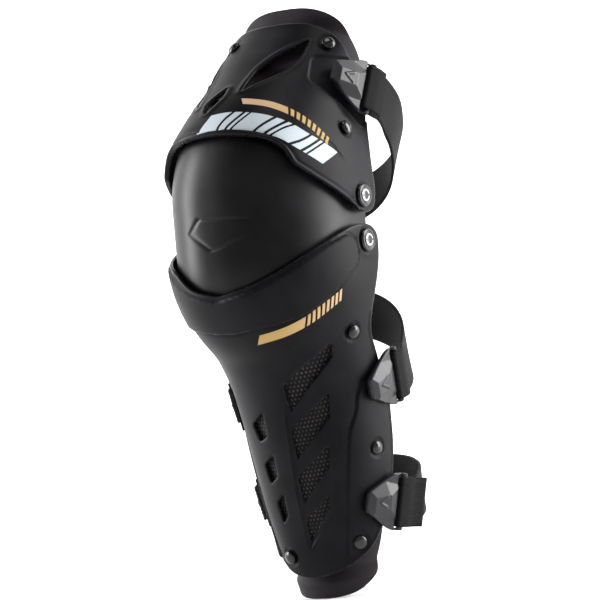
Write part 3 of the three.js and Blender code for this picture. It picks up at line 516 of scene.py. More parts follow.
def turned(name, profile, place, sides=48):
    """Surface of revolution of an (r, z) profile that starts and ends on the
    axis, with rounded corners: each corner c becomes (1-t)^2 a + 2t(1-t) c +
    t^2 b."""
    p = np.asarray(profile, float)
    mid = p[1:-1]
    a, b = p[:-2] - mid, p[2:] - mid
    la, lb = np.linalg.norm(a, axis=1, keepdims=True), np.linalg.norm(b, axis=1, keepdims=True)
    cut = 0.35
    q0, q1 = mid + a * np.minimum(cut / la, 0.4), mid + b * np.minimum(cut / lb, 0.4)
    t = np.linspace(0, 1, 4)[None, :, None]
    curve = ((1 - t) ** 2 * q0[:,
                               None] + 2 * t * (1 - t) * mid[:,
                                                             None] + t**2 * q1[:, None]).reshape(-1, 2)
    ang = np.linspace(0, 2 * np.pi, sides, endpoint=False)
    ring = np.stack([curve[:, None, 0] * np.cos(ang), curve[:, None, 0] * np.sin(ang),
                     curve[:, None, 1] + 0 * ang], -1)
    m = len(curve)
    idx = np.arange(m * sides).reshape(m, sides)
    nxt = np.roll(idx, -1, 1)
    faces = np.stack([idx[:-1], nxt[:-1], nxt[1:], idx[1:]], -1).reshape(-1, 4).tolist()
    pts = np.concatenate([ring.reshape(-1, 3), [[0, 0, p[0, 1]], [0, 0, p[-1, 1]]]])
    first, last = m * sides, m * sides + 1
    faces += np.stack([np.full(sides, first), nxt[0], idx[0]], 1).tolist()
    faces += np.stack([np.full(sides, last), idx[-1], nxt[-1]], 1).tolist()
    obj = make(name, place(pts), faces, {"flat": pts})
    obj.modifiers.new("Edges", "WEIGHTED_NORMAL")
    return obj


# ---------------------------------------------------------------- materials
class Value:
    """A shader number with ordinary arithmetic."""

    def __init__(self, build, socket):
        self.build, self.socket = build, socket

    def math(self, operation, *others):
        return self.build.math(operation, self, *others)

    def __add__(self, o): return self.math("ADD", o)
    def __sub__(self, o): return self.math("SUBTRACT", o)
    def __mul__(self, o): return self.math("MULTIPLY", o)
    def __truediv__(self, o): return self.math("DIVIDE", o)
    def __radd__(self, o): return self.build.math("ADD", o, self)
    def __rsub__(self, o): return self.build.math("SUBTRACT", o, self)
    def __rmul__(self, o): return self.build.math("MULTIPLY", o, self)
    def __rtruediv__(self, o): return self.build.math("DIVIDE", o, self)
    def __lt__(self, o): return self.math("LESS_THAN", o)
    def __gt__(self, o): return self.math("GREATER_THAN", o)
    def __abs__(self): return self.math("ABSOLUTE")
    def fract(self): return self.math("FRACT")
    def floor(self): return self.math("FLOOR")
    def sin(self): return self.math("SINE")

    def step(self, low, high):
        """0 below low and 1 above high, smooth between."""
        node = self.build.node("ShaderNodeMapRange",
                               {"interpolation_type": "SMOOTHSTEP", "clamp": True},
                               {"Value": self, "From Min": low, "From Max": high})
        return Value(self.build, node.outputs["Result"])


class Build:
    """Builds one material's node tree."""

    def __init__(self, name):
        self.material = bpy.data.materials.new(name)
        self.material.use_nodes = True
        self.tree = self.material.node_tree
        self.shader = self.tree.nodes["Principled BSDF"]

    def node(self, kind, settings=None, sockets=None):
        node = self.tree.nodes.new(kind)
        for key, value in (settings or {}).items():
            setattr(node, key, value)
        for key, value in (sockets or {}).items():
            self.plug(value, node.inputs[key])
        return node

    def plug(self, value, socket):
        if isinstance(value, Value):
            self.tree.links.new(value.socket, socket)
        elif isinstance(value, bpy.types.NodeSocket):
            self.tree.links.new(value, socket)
        else:
            socket.default_value = value

    def math(self, operation, *values):
        node = self.node("ShaderNodeMath", {"operation": operation}, dict(enumerate(values)))
        return Value(self, node.outputs[0])

    def attribute(self, name):
        """The three numbers of a mesh attribute."""
        node = self.node("ShaderNodeAttribute", {"attribute_name": name})
        split = self.node("ShaderNodeSeparateXYZ", None, {0: node.outputs["Vector"]})
        return [Value(self, split.outputs[i]) for i in range(3)]

    def place(self):
        return self.node("ShaderNodeTexCoord").outputs["Object"]

    def noise(self, size, detail=2.0, vector=None, stretch=(1, 1, 1)):
        """Noise whose features are about size metres across."""
        moved = self.node("ShaderNodeMapping", None,
                          {"Vector": vector or self.place(), "Scale": stretch})
        node = self.node("ShaderNodeTexNoise", None,
                         {"Vector": moved.outputs[0], "Scale": 1 / size, "Detail": detail})
        return Value(self, node.outputs["Fac"])

    def pick(self, factor, a, b):
        """Colour a where factor is 0 and b where it is 1."""
        node = self.node("ShaderNodeMix", {"data_type": "RGBA"}, {0: factor, 6: a, 7: b})
        return node.outputs[2]

    def bump(self, height, distance, before=None, strength=1.0):
        sockets = {"Height": height, "Distance": distance, "Strength": strength}
        if before is not None:
            sockets["Normal"] = before
        return self.node("ShaderNodeBump", None, sockets).outputs["Normal"]

    def finish(self, **sockets):
        for key, value in sockets.items():
            self.plug(value, self.shader.inputs[key.replace("_", " ")])
        return self.material


def tone(name):
    return (*getattr(bpy.context.scene.guard_colours, name), 1.0)


def once(name, recipe):
    """The material called name, built the first time it is asked for."""
    return bpy.data.materials.get("look_" + name) or recipe(Build("look_" + name))


def moulded(b, base, rough, grain=0.00055, depth=0.00005):
    """Textured injection-moulded plastic: fine grain, faint cloudiness and edges
    rubbed lighter. shell_plastic adds the printed blocks from the stripe and block values."""
    x, y, rim = b.attribute("flat")
    cloud = b.noise(0.045, 3).step(0.35, 0.7)
    fine = b.noise(grain, 2)
    scuff = b.noise(0.006, 4, stretch=(1, 1, 3)).step(0.60, 0.72)
    worn = (1 - rim.step(-0.6, 1.6)) * b.noise(0.004, 3).step(0.35, 0.65)
    shade = b.pick(cloud * 0.16 + scuff * 0.08 + worn * 0.55, tone(base), tone("shell_worn"))
    return x, y, rim, cloud, fine, scuff, worn, shade


def shell_plastic(b):
    x, y, rim, cloud, fine, scuff, worn, shade = moulded(b, "shell", 0.45)
    run, side, on = b.attribute("stripe")
    # gold stripe: a solid bar, then eight slanted dashes
    solid = (run > 0.0) * (run < on)
    dash = (run > on) * (((run - on) / 4.25).fract() > 0.42) * (run < on + 34.2)
    gold = (solid + dash) * (abs(side) < 3.25 + 0 * side) * (on > 1.0)
    wash = (run / (on + 30)).step(0.1, 0.75)
    lower = on > 31.0
    wash = wash * (1 - lower) + (1 - wash * 0.6) * lower
    shade = b.pick(gold, shade, b.pick(wash, tone("peach"), tone("gold")))
    # white slanted blocks in a row that follows the lower edge
    run, side, on = b.attribute("blocks")
    lean = run - side * 0.42
    cell = (lean / 24.0).fract()
    block = (cell < 0.50) + (cell > 0.58) * (cell < 0.78) + (cell > 0.86) * (cell < 0.94)
    white = block * (abs(side) < 9.4) * (lean > 0.0) * (lean < on) * (on > 1.0)
    shade = b.pick(white, shade, tone("white"))
    ink = (white + gold).step(0.0, 1.0)
    rough = 0.40 + cloud * 0.06 + fine * 0.06 - worn * 0.14 - ink * 0.06 - (1 - rim.step(1.0, 4.2)) * 0.14
    normal = b.bump(fine, 0.00006)
    normal = b.bump(ink, 0.00008, normal)
    return b.finish(Base_Color=shade, Roughness=rough, Normal=normal, Specular_IOR_Level=0.11)


def cup_plastic(b):
    x, y, rim, cloud, fine, scuff, worn, shade = moulded(b, "cup", 0.3)
    rough = 0.33 + cloud * 0.05 + fine * 0.04 + scuff * 0.05
    return b.finish(Base_Color=shade, Roughness=rough, Normal=b.bump(fine, 0.00003),
                    Specular_IOR_Level=0.20)


def gloss_black(b):
    x, y, z = b.attribute("flat")
    swirl = b.noise(0.0012, 3, stretch=(1, 1, 6)).step(0.62, 0.75)
    smear = b.noise(0.004, 2)
    shade = b.pick(swirl * 0.3, tone("gloss"), tone("shell_worn"))
    return b.finish(Base_Color=shade, Roughness=0.12 + smear * 0.12 + swirl * 0.15,
                    Normal=b.bump(smear, 0.00004))


def cap_black(b):
    """Pivot cap: gloss black with a plain white split ring."""
    x, y, z = b.attribute("flat")
    ring = b.math("SQRT", x * x + y * y)
    smear = b.noise(0.004, 2)
    mark = (abs(ring - 4.4) < 0.75) * (abs(y) > 0.8) * (z > 0.0)
    shade = b.pick(mark, tone("gloss"), tone("white"))
    return b.finish(Base_Color=shade, Roughness=0.13 + smear * 0.12 + mark * 0.2,
                    Normal=b.bump(mark, 0.0001))


def clip_plastic(b):
    x, y, rim = b.attribute("flat")
    cloud = b.noise(0.02, 3)
    fine = b.noise(0.0006, 2)
    worn = (1 - rim.step(-0.6, 1.4)) * b.noise(0.003, 3).step(0.35, 0.6)
    shade = b.pick(cloud * 0.3 + worn * 0.6, tone("clip"), (0.030, 0.029, 0.034, 1))
    return b.finish(Base_Color=shade, Roughness=0.27 + cloud * 0.12 + fine * 0.05,
                    Normal=b.bump(fine, 0.00004),
                    Coat_Weight=0.1, Specular_IOR_Level=0.35)


def neoprene(b):
    """Stretch cloth over foam: fine knit, soft pile at grazing light and a
    stitched seam beside the bound rim."""
    rim, run, z = b.attribute("rim")
    wale = b.noise(0.0009, 1, stretch=(1, 1, 0.45))
    cloud = b.noise(0.03, 3).step(0.3, 0.75)
    bind = 1 - rim.step(6.2, 6.8)
    stitch = (abs(rim - 8.2) < 0.55) * ((run / 3.4).fract() < 0.62)
    shade = b.pick(cloud * 0.4, tone("liner"), (0.022, 0.017, 0.021, 1))
    shade = b.pick(bind * 0.35, shade, (0.006, 0.005, 0.006, 1))
    shade = b.pick(stitch, shade, tone("thread"))
    ribs = ((run / 1.1).fract() - 0.5) * bind
    height = wale * (1 - bind * 0.4) + abs(ribs) * 0.6 + stitch * 0.8
    return b.finish(Base_Color=shade, Roughness=0.78 - bind * 0.12 + cloud * 0.08,
                    Normal=b.bump(height, 0.00022),
                    Specular_IOR_Level=0.2, Sheen_Weight=0.08, Sheen_Roughness=0.45,
                    Sheen_Tint=(0.75, 0.68, 0.75, 1))


def foam(b):
    """Perforated foam: staggered rows of small light dots on black."""
    x, y, z = b.attribute("flat")
    row = (y / 3.5)
    shift = (row.floor() * 0.5).fract()
    cx = (x / 4.0 + shift).fract() - 0.5
    cy = row.fract() - 0.5
    d = b.math("SQRT", cx * cx + cy * cy * 0.72)
    dot = 1 - d.step(0.20, 0.28)
    shine = b.noise(0.009, 2).step(0.35, 0.75)
    shade = b.pick(dot * (0.35 + shine * 0.65), tone("foam"), tone("dots"))
    return b.finish(Base_Color=shade, Roughness=0.75 - dot * 0.3, Normal=b.bump(dot, 0.0005),
                    Specular_IOR_Level=0.2)


def webbing(b):
    """Woven elastic: ribs along the strap crossed by a fine weft, with painted shade in the valleys of the weave
    and painted highlight on its ribs.
    """
    across, run, layer = b.attribute("web")
    rib = ((across / 1.55).fract() - 0.5)
    weft = ((run / 0.95 + (across / 1.55).floor() * 0.5).fract() - 0.5)
    height = (1 - rib * rib * 4) * (0.55 + 0.45 * (1 - weft * weft * 4))
    edge = (abs(across) > 19.6)
    fuzz = b.noise(0.0012, 3)
    # painted shade and highlight: the colour is darker in the valleys of the weave and lighter on the rib tops,
    # driven by the same height as the bump
    shade = b.pick((height * 0.55 + fuzz * 0.35) * (1 - edge * 0.5), tone("web"),
                   (0.0085, 0.0082, 0.0095, 1))
    return b.finish(Base_Color=shade, Roughness=0.72 - height * 0.12,
                    Normal=b.bump(height + fuzz * 0.2, 0.00035),
                    Sheen_Weight=0.01, Sheen_Roughness=0.4, Specular_IOR_Level=0.12)


def nylon(b):
    cloud = b.noise(0.01, 3)
    fine = b.noise(0.0005, 2)
    shade = b.pick(cloud * 0.5, tone("nylon"), tone("shell_worn"))
    return b.finish(Base_Color=shade, Roughness=0.42 + fine * 0.12, Normal=b.bump(fine, 0.00005))


MATERIALS = {f.__name__: f
             for f in (shell_plastic, cup_plastic, gloss_black, cap_black, clip_plastic, neoprene,
                       foam, webbing, nylon)}


def dress(obj, look, body=None):
    """Gives a piece its material and its body."""
    obj.data.materials.clear()
    obj.data.materials.append(once(look, MATERIALS[look]))
    if body:
        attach(obj, body)
    return obj


# ------------------------------------------------------------------- pieces
def on_form(form):
    return lambda x, y, out: form.world(form.point(x / PER_DEGREE, y, out))


def stretch_at(form, deg, h):
    """Flat-pattern millimetres for one real millimetre round the limb."""
    a, b = form.at(deg - 0.5, h), form.at(deg + 0.5, h)
    return PER_DEGREE / float(np.linalg.norm(b - a))


def cut_field(contour, holes):
    """Signed distance into an outline and out of its holes."""
    def field(x, y):
        f = inside_of(contour, x, y)
        for c in holes:
            f = np.minimum(f, -inside_of(c, x, y))
        return f
    return field


def dish(x, y, form, deg, h, radius, depth, soft=1.6):
    """A round dish of a given depth, its wall soft millimetres wide."""
    k = stretch_at(form, deg, h)
    d = np.hypot((x - deg * PER_DEGREE) / k, y - h)
    return -depth * (1 - ramp(d, radius - soft / 2, radius + soft / 2))


def pivot_ring(x, y, form, h):
    """Raised boss round a pivot on both sides with a shallow seat for the cap."""
    total = 0
    for deg in (90, -90):
        total = total - dish(x, y, form, deg, h, 14.5, 0.5,
                             2.5) + dish(x, y, form, deg, h, 10.6, 0.7, 1.0)
    return total


def hole_at(form, deg, h, diameter):
    return circle(deg * PER_DEGREE, h, diameter / 2, stretch_at(form, deg, h))


class GuardOperator:
    bl_options = {"REGISTER", "UNDO"}

    def execute(self, context):
        self.build(forms())
        return {"FINISHED"}


class GUARD_OT_thigh_shell(GuardOperator, bpy.types.Operator):
    """Thigh shell: arched lower lip, ears over the cup, leaf vents, clip pocket"""
    bl_idname, bl_label = "guard.thigh_shell", "Thigh shell"

    def build(self, form_of):
        form = form_of["thigh"]
        contour = outline(THIGH_HALF[1:] + mirrored(THIGH_HALF[1:]))
        vents = [outline(v) for v in LEAF_VENTS]
        holes = vents + [hole_at(form, d, 0, 8.6) for d in (90, -90)]
        spots = list(THIGH_RIVETS.values())
        holes += [hole_at(form, d, h, 5.8) for d,
                  h in spots] + [hole_at(form, *STRAPS["thigh"]["anchor"], 6.8)]
        pocket = outline([[38, 104, 6], [39, 78, 6], [84, 60, 6], [96, 84, 4], [90, 116, 4],
                          [62, 114, 6]])
        arch = outline([[0, 8, 0]] + THIGH_HALF[1:7] + [[92, -60, 0],
                                                        [-92, -60, 0]] + mirrored(THIGH_HALF[1:7]))
        crease = flat([(46, 27), (57, 26), (66, 20), (74, 13)])

        def outer(x, y):
            z = -1.6 * ramp(inside_of(pocket, x, y), -0.7, 0.7)
            for vent in vents:
                d = -inside_of(vent, x, y)
                z = z + 0.9 * ramp(d, 5.5, 1.6) - 0.9 * ramp(d, 1.8, 0.2)
            lip = -inside_of(arch, x, y)
            z = z + 1.1 * np.exp(-((lip - 1.5)
                                   / 1.1) ** 2) - 0.8 * np.exp(-((lip - 3.7) / 0.8) ** 2)
            z = z + 1.6 * ramp(lip, 26, 4) * (1 - ramp(np.abs(x), 40, 75))
            run, side = beside(crease, x, y)
            z = z - 0.9 * np.exp(-(side / 0.9) ** 2) * ramp(run, -2, 8) * (1 - ramp(run, 26, 40))
            for d, h in spots:
                z = z + dish(x, y, form, d, h, 8.4, 0.9)
            return z + pivot_ring(x, y, form, 0)

        def stripe(x, y):
            run, side = beside(flat([(10.5, 42.8), (21, 42.4), (32.5, 39.8), (44, 34.6),
                                     (54.5, 27.5)]), x, y)
            return np.column_stack([run + 0.45 * side, side, np.full(x.shape, 29.5)])

        def blocks(x, y):
            run, side = beside(flat([(-4, 18.5), (8, 21), (20, 21), (32, 19.5), (43, 15.5),
                                     (53, 13.5), (66, 11)]), x, y)
            return np.column_stack([run, side, np.full(x.shape, 84.0)])

        wall = mm("shell_wall")
        obj = sheet("thigh_shell_skin", cut_field(contour, holes), (-142, -20), (142, 144), 1.2,
                    on_form(form),
                    outer, lambda x, y: np.full(x.shape, -wall), 1.2,
                    {"stripe": stripe, "blocks": blocks})
        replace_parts(dress(obj, "shell_plastic", "thigh"), "thigh_shell")


class GUARD_OT_shin_shell(GuardOperator, bpy.types.Operator):
    """Shin shell: raised knee band, four outer vents, three inner slots and wings"""
    bl_idname, bl_label = "guard.shin_shell", "Shin shell"

    def build(self, form_of):
        form = form_of["shin"]
        contour = outline([[1, -15, 3]] + SHIN_HALF + [[0, -273, 6]] + mirrored(SHIN_INNER))
        vents = [outline(v) for v in SHIN_VENTS + INNER_SLOTS]
        spots = list(SHIN_RIVETS.values())
        holes = vents + [hole_at(form, d, 0, 8.6) for d in (90, -90)]
        holes += [hole_at(form, d, h, 5.8) for d,
                  h in spots] + [hole_at(form, *STRAPS[k]["anchor"], 6.8)
                                 for k in ("upper_calf", "lower_calf")]
        band = outline([[1, -19, 3]] + BAND_HALF + [[0, -48, 4]] + mirrored(BAND_INNER))
        wing = outline([[104, -100, 0], [84, -112, 6], [67, -122, 8], [63, -140, 8],
                        [55, -152, 10], [43, -210, 10],
                        [33, -262, 2], [36, -300, 0], [130, -300, 0], [130, -100, 0]])
        trench = outline([[17.5, -98, 3], [17.5, -104, 4], [10.5, -133, 6], [9.4, -152, 6],
                          [7.6, -175, 6], [6.6, -201, 6],
                          [6.2, -223, 6], [6.0, -247, 2], [36, -214, 3], [44, -172, 6],
                          [50, -130, 6], [58, -88, 6], [58, -66, 4]])
        lines = [flat([(60, -52), (66, -48), (74, -48), (84, -56)]),
                 flat([(-60, -52), (-66, -48), (-74, -48), (-84, -56)])]

        def outer(x, y):
            over = inside_of(band, x, y)
            z = mm("band_step") * ramp(over, -0.6, 0.6) - 0.8 * np.exp(-((over + 1.7) / 0.9) ** 2)
            m = np.abs(x)
            beyond = inside_of(wing, m, y)
            z = z + 1.5 * ramp(beyond, -0.5,
                               0.6) - 0.9 * np.exp(-((beyond + 1.3)
                                                     / 0.8) ** 2) * ramp(y, -96, -112)
            side = inside_of(trench, x, y)
            near = np.exp(-(np.maximum(m - 6 * PER_DEGREE - 0.10 * (y + 247), 0) / 22) ** 2)
            z = z - 1.7 * ramp(side, -0.4,
                               0.7) * near + 0.5 * np.exp(-((side + 0.9) / 0.6) ** 2) * near
            for vent in vents:
                z = z - 0.8 * ramp(-inside_of(vent, x, y), 1.5, 0.2)
            z = z + 0.8 * np.exp(-((inside_of(contour, x, y) - 1.6) / 1.5) ** 2) * (y < -60)
            for d, h in spots:
                z = z + dish(x, y, form, d, h, 8.4, 0.9)
            return z + pivot_ring(x, y, form, 0)

        def stripe(x, y):
            run, side = beside(flat([(13, -57), (26, -54.2), (38, -49.5), (50, -42.5),
                                     (61.5, -36)]), x, y)
            return np.column_stack([run - 0.7 * side, side * 0.82, np.full(x.shape, 33.5)])

        wall = mm("shell_wall")
        obj = sheet("shin_shell_skin", cut_field(contour, holes), (-142, -278), (142, 22), 1.3,
                    on_form(form),
                    outer, lambda x, y: np.full(x.shape, -wall), 1.2,
                    {"stripe": stripe, "blocks": lambda x, y: np.zeros((len(x), 3))})
        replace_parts(dress(obj, "shell_plastic", "shin"), "shin_shell")


class GUARD_OT_knee_cup(GuardOperator, bpy.types.Operator):
    """Knee cup: smooth satin bowl with two straight fading creases"""
    bl_idname, bl_label = "guard.knee_cup", "Knee cup"

    def build(self, form_of):
        form = form_of["knee"]
        half, depth = mm("pivot_half"), mm("cup_depth")
        top, foot = half + depth * math.sin(math.radians(46)), -half - depth * math.sin(math.radians(50))
        side = [[42, top - 7, 22], [64, half + 48, 20], [84, half + 15, 8], [100, half + 12, 12],
                [100, -half - 12, 12],
                [84, -half - 15, 8], [66, -half - 52, 20], [42, foot + 8, 22], [0, foot, 8]]
        contour = outline([[0, top, 8]] + side + mirrored(side[:-1]))
        holes = [hole_at(form, d, s * half, 8.6) for d in (90, -90) for s in (1, -1)]
        upper = np.array([(-6, 9), (12, 7), (30, 3.5)]) * [PER_DEGREE, 1]
        lower = np.array([(-6, 9), (-12, -2), (0, -17), (28, -5)]) * [PER_DEGREE, 1]

        def outer(x, y):
            z = 0
            for path, far in ((upper, 38), (lower, 66)):
                run, off = beside(path, x, y)
                z = z - 1.0 * np.exp(-(off
                                       / 1.15) ** 2) * ramp(run, -2,
                                                            1) * (1 - ramp(run, far * 0.6, far * 1.1))
            return z

        wall = mm("cup_wall")
        obj = sheet("knee_cup_skin", cut_field(contour, holes), (-135, -103), (135, 98), 1.15,
                    on_form(form),
                    outer, lambda x, y: np.full(x.shape, -wall), 1.3)
        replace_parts(dress(obj, "cup_plastic", "knee"), "knee_cup")


def pad_sheet(name, at, nu, nv, full, bind=2.6):
    """Padded sheet: at(s, t, depth) lays a point depth millimetres behind its
    front face. The bound rim is a bead of half thickness sqrt(R^2-(R-e)^2),
    then a sewn groove, then the padding swells to its full thickness."""
    s, t = np.meshgrid(np.linspace(0, 1, 41), np.linspace(0, 1, 41), indexing="ij")
    p = at(s, t, 0 * s)
    wide = np.linalg.norm(np.diff(p, axis=0), axis=-1).sum(0).mean()
    tall = np.linalg.norm(np.diff(p, axis=1), axis=-1).sum(1).mean()

    def rim(s, t):
        """Distance to the rim."""
        a, b = np.minimum(s, 1 - s) * wide, np.minimum(t, 1 - t) * tall
        return np.minimum(a, b)

    def thick(s, t):
        e = rim(s, t)
        bead = np.sqrt(np.maximum(bind**2 - (bind - np.minimum(e, bind)) ** 2, 0))
        swell = (full(s, t) / 2 - bind * 0.62) * ramp(e, 7.5,
                                                      24) - bind * 0.38 * ramp(e, 4, 7.5) * (1 - ramp(e, 8.5, 12))
        return np.maximum(bead + np.maximum(swell, -bind * 0.45), 0)

    def place(s, t, half):
        mid = full(s, t) / 2
        return at(s, t, mid - half)

    def value(s, t):
        run = np.where(np.minimum(s, 1 - s) * wide < np.minimum(t, 1 - t) * tall, t * tall,
                       s * wide)
        return np.stack([rim(s, t), run, 0 * s], -1)

    return rounded_grid(name, place, thick, nu, nv,
                        {"rim": value, "flat": lambda s,
                         t: np.stack([s * wide, t * tall, 0 * s], -1)})


class GUARD_OT_liners(GuardOperator, bpy.types.Operator):
    """Padded liners with bound and stitched rims, and the pad in the cup"""
    bl_idname, bl_label = "guard.liners", "Liners"

    def build(self, form_of):
        wall, gap, pad = mm("shell_wall"), mm("liner_gap"), mm("liner_pad")
        thigh, shin, knee = form_of["thigh"], form_of["shin"], form_of["knee"]
        half, depth = mm("cup_half_width"), mm("cup_depth")
        free_at = depth * math.sin(math.radians(46)) + 2.5
        reach = depth * math.sin(math.radians(50))

        def thigh_at(s, t, back):
            d = -86 + 172 * s
            low, high = 46 + 16 * np.abs(2 * s - 1) ** 2.5, 161 - 42 * np.abs(2 * s - 1) ** 3.2
            h = low + (high - low) * t
            free = ramp(h, free_at, free_at + 18)
            above = thigh.point(d, h, -(wall + gap))
            r = np.hypot(above[..., 0], above[..., 1])
            inside = knuckle(np.deg2rad(d), np.minimum(h, free_at), half - 6, depth - 6, 2.3)
            r = np.minimum(r, inside * (1 - free) + r * free) - back + 5 * ramp(h, 141, 154)
            phi = np.deg2rad(d)
            return thigh.world(np.stack([r * np.sin(phi), -r * np.cos(phi), above[..., 2]], -1))

        def thigh_full(s, t):
            low, high = 46 + 16 * np.abs(2 * s - 1) ** 2.5, 161 - 42 * np.abs(2 * s - 1) ** 3.2
            free = ramp(low + (high - low) * t, free_at, free_at + 18)
            return 4.5 + (pad - 4.5) * free

        obj = pad_sheet("thigh_liner_pad", thigh_at, 130, 76, thigh_full)
        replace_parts(dress(obj, "neoprene", "thigh"), "thigh_liner")

        front = wall + 1.4 + mm("foam_pad") + 1.2

        def shin_at(s, t, back):
            half_deg = 84 + 22 * np.minimum(1,
                                            np.sin(np.pi * np.minimum(1, t * 0.62 + 0.05)) ** 0.7)
            foot = -294 + 44 * np.abs(2 * s - 1) ** 3.6
            top = -reach - 11.6 - 6 * np.cos(np.pi * (2 * s - 1)) + 30 * np.abs(2 * s - 1) ** 8
            h = foot + (top - foot) * t
            return shin.world(shin.point(half_deg * (2 * s - 1), h,
                                         -front - back + 7.5 * ramp(-h, 271, 284)))

        obj = pad_sheet("shin_liner_pad", shin_at, 150, 130, lambda s, t: np.full(s.shape, pad))
        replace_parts(dress(obj, "neoprene", "shin"), "shin_liner")

        def knee_at(s, t, back):
            tall = 52 - 14 * (2 * s - 1) ** 2
            return knee.world(knee.point(-56 + 112 * s, tall * (2 * t - 1),
                                         -mm("cup_wall") - 2 - back))

        obj = pad_sheet("knee_pad_pad", knee_at, 70, 60, lambda s,
                        t: np.full(s.shape, mm("knee_pad")))
        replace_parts(dress(obj, "neoprene", "knee"), "knee_pad")


class GUARD_OT_foam(GuardOperator, bpy.types.Operator):
    """Foam sheet behind the shin vents"""
    bl_idname, bl_label = "guard.foam", "Vent foam"

    def build(self, form_of):
        form = form_of["shin"]
        thick, front = mm("foam_pad"), mm("shell_wall") + 1.4
        reach = mm("cup_depth") * math.sin(math.radians(50))

        def lay(s, t):
            d = (-60 + 120 * s) * (0.6 + 0.4 * t)
            top = -reach - 3.6 + 16 * np.abs(2 * s - 1) ** 2.5
            return d, -246 + (top + 246) * t

        def place(s, t, half):
            d, h = lay(s, t)
            return form.world(form.point(d, h, -front - thick / 2 + half))

        def thick_at(s, t):
            e = np.minimum(np.minimum(s, 1 - s) * 120, np.minimum(t, 1 - t) * 160)
            return np.sqrt(np.maximum(1 - (1 - np.minimum(e / 1.5, 1)) ** 2, 0)) * thick / 2

        def value(s, t):
            d, h = lay(s, t)
            return np.stack([d * PER_DEGREE, h, 0 * s], -1)

        obj = rounded_grid("shin_foam_sheet", place, thick_at, 90, 120, {"flat": value})
        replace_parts(dress(obj, "foam", "shin"), "shin_foam")


class GUARD_OT_rivets(GuardOperator, bpy.types.Operator):
    """Domed rivets that hold the shells and liners together"""
    bl_idname, bl_label = "guard.rivets", "Rivets"

    def build(self, form_of):
        wall, head = mm("shell_wall"), mm("rivet_head") / 2
        dome = [(head * math.cos(a), 1.1 + 2.8 * math.sin(a))
                for a in np.linspace(0.12, math.pi / 2 - 0.1, 9)]
        profile = [(0, -wall - 2.6), (4.2, -wall - 2.6), (4.2, -wall - 1.6), (2.5, -wall - 1.6),
                   (2.5, -0.5),
                   (head - 0.3, -0.5), (head, 0.2)] + dome + [(0, 3.9)]
        for body, spots in (("thigh", THIGH_RIVETS), ("shin", SHIN_RIVETS)):
            form = form_of[body]
            for name, (d, h) in spots.items():
                axes, origin = form.seat(float(d), float(h))
                node = f"{body}_rivet_{name}"
                obj = turned(node + "_dome", profile, lambda p: form.world(p @ axes + origin), 40)
                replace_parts(dress(obj, "gloss_black", body), node)


class GUARD_OT_pivots(GuardOperator, bpy.types.Operator):
    """Pivot caps and pins, and the washers between the ears and the cup"""
    bl_idname, bl_label = "guard.pivots", "Pivots"

    def build(self, form_of):
        half, inner = mm("pivot_half"), mm("cup_half_width") - mm("cup_wall")
        cap = mm("pivot_cap") / 2
        for level, z, form in (("upper", half, form_of["thigh"]),
                               ("lower", -half, form_of["shin"])):
            ear = float(form.at(90.0, 0.0)[0])
            profile = [(0, inner - 2.6), (8, inner - 2.6), (8, inner - 0.6), (3.9, inner - 0.6),
                       (3.9, ear - 0.4), (cap - 0.4, ear - 0.4),
                       (cap, ear + 0.5), (cap, ear + 1.7), (cap * 0.93, ear + 2.7),
                       (cap * 0.80, ear + 3.1), (cap * 0.74, ear + 2.6),
                       (cap * 0.66, ear + 2.6), (cap * 0.60, ear + 3.2), (cap * 0.3, ear + 3.6),
                       (0, ear + 3.7)]
            for side, sign in (("outer", 1), ("inner", -1)):
                place = lambda p: np.stack([sign * p[:, 2], sign * p[:, 0], p[:, 1] + z],
                                           1) / 1000
                obj = turned(f"pivot_{level}_{side}_cap", profile, place, 64)
                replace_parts(dress(obj, "cap_black", "knee"),
                            f"pivot_{level}_{side}")
                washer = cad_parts[f"washer_{level}_{side}"]
                washer.data.materials.clear()
                washer.data.materials.append(once("nylon", nylon))


def clip_frame(form, plan):
    """The clip's axes and origin: it touches down a little behind its nose."""
    deg, h = plan["nose"]
    radius = float(np.hypot(*form.at(float(deg), float(h))[:2]))
    axes, origin = form.seat(deg + 11 / (math.radians(1) * radius), float(h), mm("clip_lift"),
                             plan["turn"])
    return axes, origin - 11 * axes[0]


